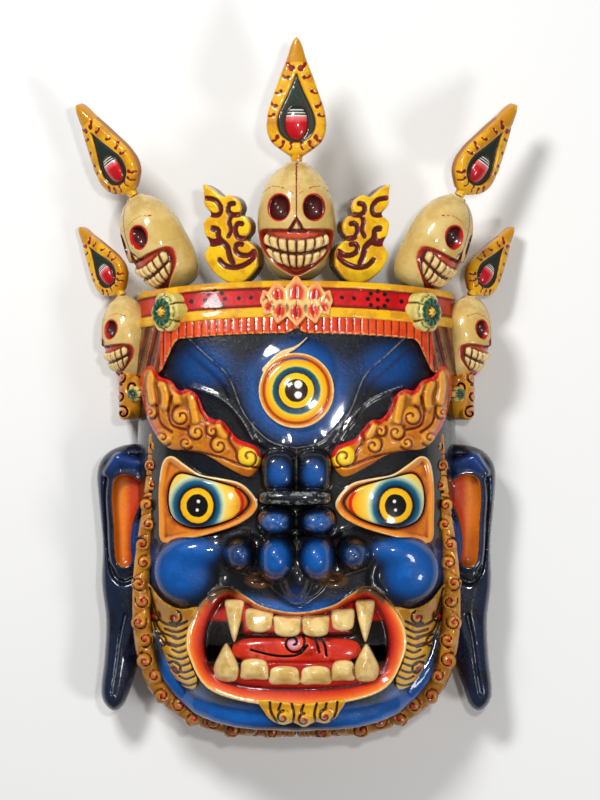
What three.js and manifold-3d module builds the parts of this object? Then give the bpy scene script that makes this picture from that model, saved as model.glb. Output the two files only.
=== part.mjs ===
// Tibetan cham mask: a hollow carved face with a crown of five skulls, lying on its back rim.
// Millimetres. +X is the viewer's right, +Y runs from chin to crown, +Z comes out of the face.
import * as THREE from 'three';
import { mergeVertices } from 'three/addons/utils/BufferGeometryUtils.js';
import Module from 'manifold-3d';

// Head: the carved block from the chin to the top of the crown band
const headLength = 386;
const headWidth = 274;
const headDepth = 126;
const wall = 13;
const crownFlatness = 5;
const jawRoundness = 2.6;
const frontFullness = 2.8;

// Crown band and the pleated frill under it
const bandHeight = 31;
const bandRelief = 8;
const bandDrop = 9;
const frillHeight = 13;
const frillRelief = 5;
const pleatPitch = 9;
const lotusWidth = 56;
const rosetteRadius = 18;

// Crown pieces
const skullHeight = 100;
const skullWidth = 66;
const flameLength = 106;
const flameWidth = 51;
const flameThickness = 15;
const scrollHeight = 86;
const scrollWidth = 50;
const scrollThickness = 18;
const upperShare = 0.88;
const lowerShare = 0.72;

// Ears
const earLength = 228;
const earReach = 46;
const earThickness = 34;

// Clearance kept between two separate pieces
const jointGap = 0.3;

// Facets of the head's dome, of the raised skins over it and of its hollow
const domeFacets = [36, 6];
const skinFacets = [24, 5];
const hollowFacets = [20, 5];

const halfWidth = headWidth / 2;
const halfLength = headLength / 2;
const sides = [-1, 1];

const paint = {
  blue: 0x14559f,
  cream: 0xd7b978,
  gold: 0xc8901c,
  navy: 0x0f1932,
};

const wasm = await Module();
wasm.setup();

// A closed three.js geometry as a solid, moved by a matrix if one is given
function solid(geometry, matrix) {
  const plain = geometry.index ? geometry.toNonIndexed() : geometry.clone();
  plain.deleteAttribute('normal');
  plain.deleteAttribute('uv');
  if (matrix) plain.applyMatrix4(matrix);
  const merged = mergeVertices(plain, 1e-4);
  const mirrored = matrix && matrix.determinant() < 0;
  const corners = merged.index.array;
  const kept = [];
  for (let i = 0; i < corners.length; i += 3) {
    const [a, b, c] = [corners[i], corners[i + 1], corners[i + 2]];
    if (a === b || b === c || c === a) continue;
    kept.push(a, mirrored ? c : b, mirrored ? b : c);
  }
  return new wasm.Manifold(new wasm.Mesh({
    numProp: 3,
    vertProperties: new Float32Array(merged.attributes.position.array),
    triVerts: new Uint32Array(kept),
  }));
}

function joined(solids) {
  return solids.reduce((sum, next) => sum.add(next));
}

function toGeometry(manifold) {
  const mesh = manifold.getMesh();
  const geometry = new THREE.BufferGeometry();
  geometry.setAttribute('position', new THREE.BufferAttribute(new Float32Array(mesh.vertProperties), 3));
  geometry.setIndex(new THREE.BufferAttribute(new Uint32Array(mesh.triVerts), 1));
  geometry.computeVertexNormals();
  return geometry;
}

function at(x, y, z, turn = [0, 0, 0], size = [1, 1, 1]) {
  const rotation = new THREE.Quaternion().setFromEuler(new THREE.Euler(...turn));
  return new THREE.Matrix4().compose(new THREE.Vector3(x, y, z), rotation, new THREE.Vector3(...size));
}

function ellipsoid(rx, ry, rz, around = 12, along = 8) {
  const geometry = new THREE.SphereGeometry(1, around, along);
  geometry.scale(rx, ry, rz);
  return geometry;
}

// A flat outline as a straight prism between two heights
function prism(outline, low, high, curveSegments = 10) {
  const geometry = new THREE.ExtrudeGeometry(outline, { depth: high - low, bevelEnabled: false, curveSegments });
  geometry.translate(0, 0, low);
  return geometry;
}

// A smooth closed outline through a few points, for prisms
function smoothOutline(points, count) {
  const curve = new THREE.CatmullRomCurve3(points.map(([x, y]) => new THREE.Vector3(x, y, 0)), true, 'centripetal');
  return new THREE.Shape(curve.getPoints(count).slice(0, count).map((p) => new THREE.Vector2(p.x, p.y)));
}

function mirroredPoints(points, side) {
  return points.map(([x, y]) => [side * x, y]);
}

// A ring-shaped tube that follows a closed curve
function tubeLoop(points, radius, count, around) {
  const curve = new THREE.CatmullRomCurve3(points, true, 'centripetal');
  const positions = [];
  const indices = [];
  for (let i = 0; i < count; i += 1) {
    const centre = curve.getPointAt(i / count);
    const along = curve.getTangentAt(i / count);
    const out = new THREE.Vector3(0, 0, 1).cross(along).normalize();
    const up = along.clone().cross(out).normalize();
    for (let j = 0; j < around; j += 1) {
      const angle = (j / around) * Math.PI * 2;
      const corner = centre.clone();
      corner.addScaledVector(out, radius * Math.cos(angle));
      corner.addScaledVector(up, radius * Math.sin(angle));
      positions.push(corner.x, corner.y, corner.z);
      const next = ((i + 1) % count) * around;
      const turn = (j + 1) % around;
      indices.push(i * around + j, next + turn, next + j, i * around + j, i * around + turn, next + turn);
    }
  }
  const geometry = new THREE.BufferGeometry();
  geometry.setAttribute('position', new THREE.Float32BufferAttribute(positions, 3));
  geometry.setIndex(indices);
  return geometry;
}

// Half sizes of the head's form, grown outwards or shrunk by an amount
function headForm(grow) {
  return { x: halfWidth + grow, y: halfLength + grow, z: headDepth + grow, crown: halfLength * 1.3 + grow };
}

// Height of the plain face above the rim, at a point of the face
function faceHeight(x, y, grow = 0) {
  const form = headForm(grow);
  const flatness = y > 0 ? crownFlatness : jawRoundness;
  const reach = y > 0 ? form.crown : form.y;
  const outward = (Math.abs(x / form.x) ** flatness + Math.abs(y / reach) ** flatness) ** (1 / flatness);
  const height = form.z * Math.max(0, 1 - outward ** frontFullness) ** (1 / frontFullness);
  return Math.max(height, 3 + grow);
}

// A point of the head's plan outline
function planPoint(angle, grow) {
  const form = headForm(grow);
  const c = Math.cos(angle);
  const s = Math.sin(angle);
  const power = 2 / (s > 0 ? crownFlatness : jawRoundness);
  return [form.x * Math.sign(c) * Math.abs(c) ** power, form.y * Math.sign(s) * Math.abs(s) ** power];
}

// The head as one domed solid. It starts at the rim plane, or a little below it for cutting.
function headDome(grow, [spokes, rings], below = 0) {
  const positions = [0, 0, faceHeight(0, 0, grow)];
  const indices = [];
  for (let ring = 1; ring <= rings + 1; ring += 1) {
    const share = Math.sin((Math.min(ring, rings) / rings) * (Math.PI / 2));
    for (let spoke = 0; spoke < spokes; spoke += 1) {
      const [x, y] = planPoint((spoke / spokes) * Math.PI * 2, grow);
      const height = ring > rings ? -below : faceHeight(x * share, y * share, grow);
      positions.push(x * share, y * share, height);
    }
  }
  const ringStart = (ring) => 1 + (ring - 1) * spokes;
  for (let spoke = 0; spoke < spokes; spoke += 1) {
    const next = (spoke + 1) % spokes;
    indices.push(0, 1 + spoke, 1 + next);
    for (let ring = 1; ring <= rings; ring += 1) {
      const inner = ringStart(ring);
      const outer = ringStart(ring + 1);
      indices.push(inner + spoke, outer + spoke, outer + next, inner + spoke, outer + next, inner + next);
    }
  }
  const centre = positions.length / 3;
  positions.push(0, 0, -below);
  const rim = ringStart(rings + 1);
  for (let spoke = 0; spoke < spokes; spoke += 1) {
    indices.push(centre, rim + ((spoke + 1) % spokes), rim + spoke);
  }
  const geometry = new THREE.BufferGeometry();
  geometry.setAttribute('position', new THREE.Float32BufferAttribute(positions, 3));
  geometry.setIndex(indices);
  return geometry;
}

// A place on the face: shares of half the head's width, and of its length from the chin
function place(across, up) {
  return [across * halfWidth, (up - 0.5) * headLength];
}

const places = (shares) => shares.map(([across, up]) => place(across, up));

// A carving size as a share of the head's length
const share = (part) => part * headLength;

// A matrix that lies a form on the face, its z axis out of the surface
function onFace(x, y, sink = 0, spin = 0) {
  const step = 2;
  const slopeX = (faceHeight(x + step, y) - faceHeight(x - step, y)) / (2 * step);
  const slopeY = (faceHeight(x, y + step) - faceHeight(x, y - step)) / (2 * step);
  const normal = new THREE.Vector3(-slopeX, -slopeY, 1).normalize();
  const across = new THREE.Vector3(0, 1, 0).cross(normal).normalize();
  const up = normal.clone().cross(across);
  const matrix = new THREE.Matrix4().makeBasis(across, up, normal);
  matrix.setPosition(x, y, faceHeight(x, y) - sink);
  return matrix.multiply(new THREE.Matrix4().makeRotationZ(spin));
}

// A raised patch: an outline of the face lifted to an even relief over it
function raisedPatch(outline, relief, low = 2) {
  const skin = solid(headDome(relief, skinFacets));
  return solid(prism(outline, low, headDepth * 2)).intersect(skin);
}

// Upper edge of the crown band or the frill, arched over the brow
function bandEdge(x, drop) {
  return halfLength - drop - bandDrop * (x / halfWidth) ** 2;
}

function archStrip(dropTop, dropLow, reach) {
  const steps = 8;
  const points = [];
  for (let i = 0; i <= steps; i += 1) {
    const x = reach * (1 - (2 * i) / steps);
    points.push([x, bandEdge(x, dropTop)]);
  }
  for (let i = steps; i >= 0; i -= 1) {
    const x = reach * (1 - (2 * i) / steps);
    points.push([x, bandEdge(x, dropLow)]);
  }
  return new THREE.Shape(points.map(([x, y]) => new THREE.Vector2(x, y)));
}

const bandReach = halfWidth + bandRelief * 2;

function crownBand() {
  return solid(prism(archStrip(0, bandHeight, bandReach), 0, headDepth * 2))
    .intersect(solid(headDome(bandRelief, skinFacets)));
}

// The frill is one strip with a zigzag front, so that each pleat is a ridge. Its top is let into the band.
const seatDepth = 5;

function frill() {
  const count = Math.floor((headWidth * 0.86) / pleatPitch);
  const middle = bandEdge(0, bandHeight + frillHeight / 2);
  const outline = [];
  for (let i = 0; i <= count * 2; i += 1) {
    const x = (i - count) * (pleatPitch / 2);
    const lift = frillRelief * (i % 2 === 0 ? 0.6 : 1.3);
    outline.push(new THREE.Vector2(x, faceHeight(x, middle) + lift));
  }
  const backHeight = (x) => faceHeight(x, middle) - wall * 0.6;
  for (let i = 8; i >= 0; i -= 1) {
    const x = (i / 4 - 1) * count * (pleatPitch / 2);
    outline.push(new THREE.Vector2(x, backHeight(x)));
  }
  const strip = new THREE.ExtrudeGeometry(new THREE.Shape(outline), { depth: frillHeight + seatDepth, bevelEnabled: false });
  strip.rotateX(Math.PI / 2);
  const corners = strip.attributes.position;
  for (let i = 0; i < corners.count; i += 1) {
    const x = corners.getX(i);
    corners.setXYZ(i, x, bandEdge(x, bandHeight - seatDepth) + corners.getY(i), corners.getZ(i));
  }
  return solid(strip);
}

// What crown pieces and ears are fitted against
function headEnvelope(grow) {
  return solid(headDome(grow, domeFacets, grow))
    .add(solid(prism(archStrip(-grow, bandHeight + grow, bandReach + grow), -grow, headDepth * 2))
      .intersect(solid(headDome(bandRelief + grow, skinFacets, grow))))
    .add(joined(sides.map((side) => lappet(side, grow))));
}

// Carved scroll block under each lower skull
const lappetPlace = place(1.01, 0.765);
const lappetSize = { across: share(0.036), up: share(0.06), deep: share(0.075) };

function lappet(side, grow = 0) {
  const block = ellipsoid(lappetSize.across + grow, lappetSize.up + grow, lappetSize.deep + grow, 10, 6);
  return solid(block, at(side * lappetPlace[0], lappetPlace[1], lappetSize.deep + grow + 1));
}

function thirdEye() {
  const [x, y] = place(0, 0.762);
  const radius = share(0.082);
  const profile = [[0, -8], [radius, -8], [radius, 3], [radius * 0.93, 5.5], [radius * 0.8, 4], [radius * 0.5, 6.5], [0, 8]];
  const lens = new THREE.LatheGeometry(profile.map(([r, z]) => new THREE.Vector2(r, z)), 16);
  lens.rotateX(Math.PI / 2);
  return solid(lens, onFace(x, y));
}

// Almond outline of an eye: inner corner, upper lid, outer edge and lower lid
const eyeShares = [
  [0.24, 0.52], [0.35, 0.572], [0.6, 0.575], [0.83, 0.612], [0.9, 0.58],
  [0.88, 0.48], [0.85, 0.42], [0.7, 0.425], [0.53, 0.44], [0.37, 0.475],
];

function eye(side) {
  const lidRadius = share(0.0125);
  const rim = places(eyeShares).map(([x, y]) => new THREE.Vector3(side * x, y, faceHeight(x, y) + lidRadius * 0.5));
  const lids = solid(tubeLoop(rim, lidRadius, 16, 4));
  const [x, y] = place(0.62, 0.505);
  const ball = solid(ellipsoid(share(0.07), share(0.062), share(0.05), 10, 5), onFace(side * x, y, share(0.032)));
  return [lids, ball];
}

// Flame brow: a raised plate with curls along its upper edge and a scroll at its inner end
const browShares = [
  [0.27, 0.578], [0.55, 0.625], [0.8, 0.634], [0.93, 0.69], [0.97, 0.805],
  [0.76, 0.782], [0.58, 0.745], [0.43, 0.7], [0.33, 0.655], [0.22, 0.63], [0.19, 0.597],
];
const browCurls = [
  [0.29, 0.61, 0.031], [0.46, 0.69, 0.03], [0.66, 0.74, 0.03], [0.87, 0.775, 0.03],
];

function brow(side) {
  const plate = raisedPatch(smoothOutline(mirroredPoints(places(browShares), side), 18), share(0.027), headDepth * 0.5);
  const curls = browCurls.map(([across, up, size]) => {
    const [x, y] = place(side * across, up);
    return solid(ellipsoid(share(size), share(size), share(0.022), 6, 4), onFace(x, y, -share(0.018)));
  });
  return [plate, ...curls];
}

function nose() {
  const bridge = place(0.1, 0.596);
  const bar = place(0, 0.531);
  const upperBall = place(0.117, 0.479);
  const lowerBall = place(0.113, 0.404);
  const nostril = place(0.335, 0.407);
  const septum = place(0, 0.345);
  const front = faceHeight(0, 0);
  const forms = [
    solid(ellipsoid(share(0.078), share(0.024), share(0.085), 8, 4), at(bar[0], bar[1], front)),
    solid(ellipsoid(share(0.036), share(0.06), share(0.06), 6, 4), at(septum[0], septum[1], front)),
  ];
  for (const side of sides) {
    forms.push(
      solid(ellipsoid(share(0.036), share(0.05), share(0.07), 7, 4), at(side * bridge[0], bridge[1], front)),
      solid(ellipsoid(share(0.042), share(0.034), share(0.1), 9, 5), at(side * upperBall[0], upperBall[1], front)),
      solid(ellipsoid(share(0.043), share(0.052), share(0.115), 9, 5), at(side * lowerBall[0], lowerBall[1], front)),
      solid(ellipsoid(share(0.042), share(0.036), share(0.075), 8, 4), at(side * nostril[0], nostril[1], front * 0.94)),
    );
  }
  return forms;
}

function cheek(side) {
  const [x, y] = place(0.65, 0.363);
  return solid(ellipsoid(share(0.094), share(0.07), share(0.06), 10, 5), onFace(side * x, y, share(0.012)));
}

// Muzzle: the forward swell round the mouth, made again smaller behind for the hollow
const muzzle = { up: 0.2, across: share(0.275), along: share(0.185), deep: share(0.165) };

function muzzleForm(shrink) {
  const [x, y] = place(0, muzzle.up);
  return solid(
    ellipsoid(muzzle.across - shrink, muzzle.along - shrink, muzzle.deep - shrink, 12, 6),
    at(x, y, headDepth * 0.58),
  );
}

function muzzleHeight(x, y) {
  const [, middle] = place(0, muzzle.up);
  const left = 1 - (x / muzzle.across) ** 2 - ((y - middle) / muzzle.along) ** 2;
  return Math.max(faceHeight(x, y), headDepth * 0.58 + muzzle.deep * Math.sqrt(Math.max(0, left)));
}

// Mouth: half outline from the top middle round to the bottom middle
const mouthShares = [
  [0, 0.272], [0.22, 0.285], [0.42, 0.322], [0.57, 0.298], [0.675, 0.2],
  [0.6, 0.118], [0.35, 0.082], [0, 0.075],
];
const lipRadius = share(0.021);

function mouthLoop(inset) {
  const half = places(mouthShares);
  const middle = place(0, 0.185)[1];
  const inward = ([x, y]) => [x * (1 - inset / halfWidth / 0.6), middle + (y - middle) * (1 - inset / share(0.1))];
  const right = half.map(inward);
  const left = right.slice(1, -1).reverse().map(([x, y]) => [-x, y]);
  return [...right, ...left];
}

function lips() {
  const middle = mouthLoop(lipRadius).map(([x, y]) => new THREE.Vector3(x, y, muzzleHeight(x, y) + lipRadius * 0.35));
  return solid(tubeLoop(middle, lipRadius, 24, 5));
}

function mouthCut() {
  return solid(prism(smoothOutline(mouthLoop(lipRadius * 1.7), 24), 10, headDepth * 2));
}

// Gums carry the teeth right across the mouth, above and below a slot that is cut through
const gumDepth = share(0.05);
const slotLow = 0.176;
const slotHigh = 0.209;

function gum(low, high) {
  const [reach, bottom] = place(0.62, low);
  const [, top] = place(0, high);
  const outline = new THREE.Shape([
    new THREE.Vector2(-reach, bottom),
    new THREE.Vector2(reach, bottom),
    new THREE.Vector2(reach, top),
    new THREE.Vector2(-reach, top),
  ]);
  const outer = muzzleForm(lipRadius * 0.6);
  const inner = muzzleForm(lipRadius * 0.6 + gumDepth);
  return solid(prism(outline, headDepth * 0.55, headDepth * 2)).intersect(outer).subtract(inner);
}

// One tooth, standing on its gum and tapering towards its edge
function tooth(x, rootY, edgeY, width, tip) {
  const length = Math.abs(edgeY - rootY);
  const form = new THREE.CylinderGeometry(width * tip, width, length, 5);
  form.scale(0.55, 1, 0.5);
  const flip = edgeY < rootY ? Math.PI : 0;
  const y = (rootY + edgeY) / 2;
  return solid(form, at(x, y, muzzleHeight(x, y) - share(0.022), [0, 0, flip]));
}

const upperTeeth = [[0.105, 0.205, 0.052, 0.8], [0.3, 0.215, 0.05, 0.8], [0.485, 0.2, 0.04, 0.25]];
const lowerTeeth = [[0.105, 0.155, 0.052, 0.8], [0.315, 0.165, 0.048, 0.8], [0.49, 0.184, 0.046, 0.3]];

function teeth() {
  const upperRoot = place(0, 0.268)[1];
  const lowerRoot = place(0, 0.118)[1];
  const row = [];
  for (const side of sides) {
    for (const [across, up, width, tip] of upperTeeth) {
      const [x, edge] = place(across, up);
      row.push(tooth(side * x, upperRoot + x * 0.1, edge, share(width), tip));
    }
    for (const [across, up, width, tip] of lowerTeeth) {
      const [x, edge] = place(across, up);
      row.push(tooth(side * x, lowerRoot + x * 0.1, edge, share(width), tip));
    }
  }
  return row;
}

function tongue() {
  const [x, y] = place(0, 0.145);
  return solid(ellipsoid(share(0.11), share(0.03), share(0.075), 10, 4), at(x, y, muzzleHeight(x, y) - share(0.085)));
}

// Jaw roll under the lower lip, from one corner of the mouth to the other
const jawPath = [[-0.83, 0.24], [-0.72, 0.12], [-0.4, 0.06], [0, 0.045], [0.4, 0.06], [0.72, 0.12], [0.83, 0.24]];

function jawRoll() {
  return raisedPatch(ribbon(places(jawPath), share(0.075), 14), share(0.022), headDepth * 0.3);
}

// Curls of hair along the edge of the face, from the temple to the chin
function beard(side, grow = 0) {
  const count = 8;
  const curls = [];
  for (let i = 0; i < count; i += 1) {
    const angle = 0.08 - (i / (count - 1)) * 1.5;
    const [edgeX, edgeY] = planPoint(angle, 0);
    const inward = 0.95;
    const curl = ellipsoid(share(0.034) + grow, share(0.042) + grow, share(0.024) + grow, 6, 4);
    curls.push(solid(curl, onFace(side * edgeX * inward, edgeY * inward, share(0.004))));
  }
  return curls;
}

function chinTuft() {
  const [x, y] = place(0, 0.04);
  const tuft = [solid(ellipsoid(share(0.088), share(0.034), share(0.03), 8, 4), onFace(x, y))];
  for (const lobe of [-1, 0, 1]) {
    const [curlX, curlY] = place(lobe * 0.14, 0.022);
    tuft.push(solid(ellipsoid(share(0.024), share(0.024), share(0.03), 6, 4), onFace(curlX, curlY)));
  }
  return tuft;
}

// A ribbon of even width along a path, tapering to its ends
function ribbon(path, width, count) {
  const curve = new THREE.CatmullRomCurve3(path.map(([x, y]) => new THREE.Vector3(x, y, 0)));
  const above = [];
  const below = [];
  for (let i = 0; i <= count; i += 1) {
    const centre = curve.getPoint(i / count);
    const along = curve.getTangent(i / count);
    const half = (width / 2) * (0.25 + 0.75 * Math.sin((i / count) * Math.PI));
    above.push(new THREE.Vector2(centre.x - along.y * half, centre.y + along.x * half));
    below.unshift(new THREE.Vector2(centre.x + along.y * half, centre.y - along.x * half));
  }
  return new THREE.Shape([...above, ...below]);
}

// Low ridge that runs from the root of the nose up to the temple
const foreheadRidge = [[0.17, 0.6], [0.27, 0.67], [0.4, 0.735], [0.6, 0.79], [0.83, 0.845]];

function ridge(side) {
  return raisedPatch(ribbon(mirroredPoints(places(foreheadRidge), side), share(0.035), 5), share(0.013));
}

// A flower with scalloped petals round a domed centre, facing out of the surface it sits on
function scallops(radius, petals, depthShare) {
  const points = [];
  for (let i = 0; i < petals * 3; i += 1) {
    const angle = (i / (petals * 3)) * Math.PI * 2;
    const reach = radius * (i % 3 === 0 ? 1 - depthShare : 1);
    points.push(new THREE.Vector2(reach * Math.cos(angle), reach * Math.sin(angle)));
  }
  return new THREE.Shape(points);
}

function rosette(side) {
  const [x, y] = place(0.83, 0.94);
  const seat = onFace(side * x, y, -bandRelief);
  return [
    solid(prism(scallops(rosetteRadius, 6, 0.16), -10, 4), seat),
    solid(prism(scallops(rosetteRadius * 0.74, 3, 0.1), -10, 7), seat),
    solid(ellipsoid(rosetteRadius * 0.42, rosetteRadius * 0.42, 11, 6, 4), seat),
  ];
}

// Lotus in the middle of the band: a wide row of petals behind a narrow one
function petalRow(width, height, petals) {
  const points = [];
  const steps = petals * 3;
  for (let i = 0; i <= steps; i += 1) {
    const angle = Math.PI * (i / steps);
    const reach = i % 3 === 0 ? 0.8 : 1;
    points.push(new THREE.Vector2((width / 2) * reach * Math.cos(angle), height * reach * Math.sin(angle)));
  }
  points.push(new THREE.Vector2(-width * 0.22, -height * 0.3), new THREE.Vector2(width * 0.22, -height * 0.3));
  return new THREE.Shape(points);
}

function lotus() {
  const [x, y] = [0, bandEdge(0, bandHeight * 0.62)];
  const seat = onFace(x, y, -bandRelief);
  const under = seat.clone().multiply(at(0, 0, 0, [0, 0, Math.PI]));
  return [
    solid(prism(petalRow(lotusWidth, lotusWidth * 0.36, 5), -8, 4), seat),
    solid(prism(petalRow(lotusWidth * 0.66, lotusWidth * 0.25, 3), -8, 7), seat),
    solid(prism(petalRow(lotusWidth * 0.7, lotusWidth * 0.24, 3), -8, 5), under),
  ];
}

function cavity() {
  const crownWall = solid(prism(archStrip(-headLength, wall, bandReach), -10, headDepth * 2));
  return solid(headDome(-wall, hollowFacets, 5)).add(muzzleForm(wall)).subtract(crownWall);
}

// The tongue is cut off level with the foot of the slot, which stays open
function trimmedTongue() {
  const above = new THREE.Shape(places([[-1, slotLow], [1, slotLow], [1, 0.4], [-1, 0.4]])
    .map(([x, y]) => new THREE.Vector2(x, y)));
  return tongue().subtract(solid(prism(above, 0, headDepth * 2)));
}

function maskSolid() {
  const face = joined([
    solid(headDome(0, domeFacets)),
    muzzleForm(0),
    ...sides.flatMap((side) => [cheek(side), ...eye(side), ...brow(side), ridge(side)]),
    ...sides.flatMap((side) => [...beard(side), lappet(side), ...rosette(side)]),
    jawRoll(),
    thirdEye(),
    ...nose(),
    lips(),
    crownBand(),
    frill(),
    ...chinTuft(),
    ...lotus(),
  ]);
  const shell = face.subtract(cavity()).subtract(mouthCut());
  return joined([shell, gum(slotHigh, 0.29), gum(0.07, slotLow), ...teeth(), trimmedTongue()]);
}

// A row of teeth: a curved strip with a notch between each two teeth
function teethRow(reach, bulge, height, count) {
  const points = [];
  for (let i = 0; i <= count * 2; i += 1) {
    const angle = Math.PI * (0.12 + (0.76 * i) / (count * 2));
    const out = i % 2 === 0 ? 0.9 : 1;
    points.push(new THREE.Vector2(reach * out * Math.cos(angle), -bulge * out * Math.sin(angle)));
  }
  const strip = new THREE.ExtrudeGeometry(new THREE.Shape(points), { depth: height, bevelEnabled: false });
  strip.rotateX(-Math.PI / 2);
  return strip;
}

// A crown skull: cranium, cheekbones and jaw, with sockets, a nose wedge and two rows of teeth
function skullSolid(size) {
  const height = skullHeight * size;
  const width = skullWidth * size;
  const depth = width * 0.92;
  const peg = new THREE.CylinderGeometry(width * 0.13, width * 0.13, height * 0.08, 6);
  let skull = joined([
    solid(ellipsoid(width * 0.5, height * 0.38, depth * 0.52, 10, 6), at(0, height * 0.62, 0)),
    solid(ellipsoid(width * 0.46, height * 0.15, depth * 0.46, 8, 3), at(0, height * 0.37, depth * 0.02)),
    solid(new THREE.CylinderGeometry(width * 0.36, width * 0.3, height * 0.36, 8), at(0, height * 0.18, 0)),
    solid(peg, at(0, height * 0.96, 0)),
  ]);
  for (const side of sides) {
    const socket = ellipsoid(width * 0.15, height * 0.115, depth * 0.2, 6, 4);
    skull = skull.subtract(solid(socket, at(side * width * 0.23, height * 0.61, depth * 0.45)));
  }
  const noseHole = new THREE.CylinderGeometry(width * 0.015, width * 0.07, height * 0.12, 3);
  skull = skull.subtract(solid(noseHole, at(0, height * 0.43, depth * 0.5)));
  const rows = [0.22, 0.09].map((up) => (
    solid(teethRow(width * 0.38, depth * 0.5, height * 0.11, 6), at(0, height * up, 0))
  ));
  const topCut = new THREE.BoxGeometry(width * 2, height, depth * 3);
  return joined([skull, ...rows]).subtract(solid(topCut, at(0, height * 1.5, 0)));
}

// A flame jewel: a pointed drop with a raised rim, an inner drop and a gem, on a short neck
function flameOutline(length, width, foot) {
  const outline = new THREE.Shape();
  outline.moveTo(0, foot);
  outline.bezierCurveTo(width * 0.42, foot, width * 0.54, length * 0.18, width * 0.49, length * 0.34);
  outline.bezierCurveTo(width * 0.44, length * 0.58, width * 0.16, length * 0.82, 0, length);
  outline.bezierCurveTo(-width * 0.16, length * 0.82, -width * 0.44, length * 0.58, -width * 0.49, length * 0.34);
  outline.bezierCurveTo(-width * 0.54, length * 0.18, -width * 0.42, foot, 0, foot);
  return outline;
}

function flameSolid(size) {
  const length = flameLength * size;
  const width = flameWidth * size;
  const thick = flameThickness * size;
  const foot = length * 0.06;
  const plate = solid(prism(flameOutline(length, width, foot), -thick / 2, thick / 2, 4));
  const dropCut = solid(
    prism(flameOutline(length * 0.62, width * 0.62, 0), thick * 0.25, thick, 3),
    at(0, length * 0.13, 0),
  );
  const gem = solid(
    ellipsoid(width * 0.2, length * 0.17, thick * 0.45, 8, 4),
    at(0, length * 0.33, thick * 0.22),
  );
  const neck = new THREE.CylinderGeometry(width * 0.2, width * 0.22, length * 0.12, 6);
  return joined([plate.subtract(dropCut), gem, solid(neck, at(0, length * 0.06, 0))]);
}

// A cloud scroll: a crescent with curls that rise outwards
const scrollShares = [
  [0, 0.18], [0.22, 0.04], [0.53, 0.03], [0.83, 0.15], [0.96, 0.3], [0.8, 0.4], [0.95, 0.5], [0.98, 0.64],
  [0.81, 0.72], [0.97, 0.82], [1, 1], [0.7, 0.96], [0.39, 0.85], [0.24, 0.72], [0.2, 0.53], [0.08, 0.36],
];
const scrollCurls = [[0.74, 0.25, 0.14], [0.75, 0.56, 0.14], [0.74, 0.84, 0.12], [0.36, 0.25, 0.15], [0.42, 0.55, 0.12]];

function scrollSolid() {
  const points = scrollShares.map(([x, y]) => [x * scrollWidth, y * scrollHeight]);
  const plate = solid(prism(smoothOutline(points, 32), -scrollThickness / 2, scrollThickness / 2));
  const curls = scrollCurls.map(([x, y, r]) => {
    const knob = ellipsoid(r * scrollWidth, r * scrollWidth, scrollThickness * 0.3, 6, 4);
    return solid(knob, at(x * scrollWidth, y * scrollHeight, scrollThickness * 0.5));
  });
  return joined([plate, ...curls]);
}

// An ear: an upper shell with a hollow, drawn out into a long grooved lobe
const earShares = [
  [0, 0.98], [0.3, 1], [0.7, 0.97], [0.87, 0.9], [0.8, 0.64], [0.8, 0.47], [0.65, 0.33], [0.83, 0.06],
  [0.63, 0], [0.41, 0.02], [0.11, 0.19], [-0.2, 0.45], [-0.2, 0.85],
];

function earOutline(shares, count) {
  return smoothOutline(shares.map(([x, y]) => [x * earReach, y * earLength]), count);
}

function earSolid() {
  const body = solid(prism(earOutline(earShares, 30), 0, earThickness));
  const shell = [[0.06, 0.9], [0.4, 0.88], [0.6, 0.74], [0.5, 0.52], [0.3, 0.42], [0.04, 0.5]];
  const hollow = solid(prism(earOutline(shell, 16), earThickness * 0.55, earThickness * 2));
  const groove = [[0.3, 0.36], [0.46, 0.36], [0.6, 0.1], [0.5, 0.06]];
  const lobe = solid(prism(earOutline(groove, 12), earThickness * 0.75, earThickness * 2));
  return body.subtract(hollow).subtract(lobe);
}

function moved(form, matrix) {
  return solid(toGeometry(form), matrix);
}

// Where the crown skulls stand, how they lean outwards and how far they and their flames turn
const skullStands = [
  { level: 'centre', across: 0, up: 1, deep: 0.62, lean: 0, turn: 0, size: 1, flameLean: 0, flameTurn: 0 },
  { level: 'upper', across: 0.74, up: 0.98, deep: 0.48, lean: 0.42, turn: 0.75, size: upperShare, flameLean: 0.17, flameTurn: 0.5 },
  { level: 'lower', across: 1.04, up: 0.785, deep: 0.34, lean: 0.08, turn: 1, size: lowerShare, flameLean: 0.6, flameTurn: 0.5 },
];

function standMatrix(stand, side) {
  const [x, y] = place(side * stand.across, stand.up);
  return at(x, y, headDepth * stand.deep).multiply(new THREE.Matrix4().makeRotationZ(-side * stand.lean));
}

function crownSkull(stand, side, envelope) {
  const matrix = standMatrix(stand, side).multiply(new THREE.Matrix4().makeRotationY(side * stand.turn));
  return moved(skullSolid(stand.size), matrix).subtract(envelope);
}

function crownFlame(stand, side) {
  const top = skullHeight * stand.size;
  const frame = standMatrix(stand, side).multiply(at(0, top, 0));
  const below = new THREE.BoxGeometry(top * 2, top, top * 2);
  const skullTop = solid(below, frame.clone().multiply(at(0, jointGap - top / 2, 0)));
  const pose = frame.multiply(at(0, 0, 0, [0, side * stand.flameTurn, -side * stand.flameLean]));
  return moved(flameSolid(stand.size), pose).subtract(skullTop);
}

function crownScroll(side, envelope) {
  const matrix = at(side * skullWidth * 0.46, halfLength - scrollHeight * 0.04, headDepth * 0.66, [0, side * 0.4, 0]);
  return moved(scrollSolid(), matrix.multiply(at(0, 0, 0, [0, 0, 0], [side || 1, 1, 1]))).subtract(envelope);
}

function sideEar(side, envelope) {
  const inner = halfWidth - earReach * 0.17;
  const matrix = at(side * inner, (0.052 - 0.5) * headLength, headDepth * 0.17, [0, 0, 0], [side, 1, 1]);
  return moved(earSolid(), matrix).subtract(envelope).subtract(joined(beard(side, jointGap)));
}

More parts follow.
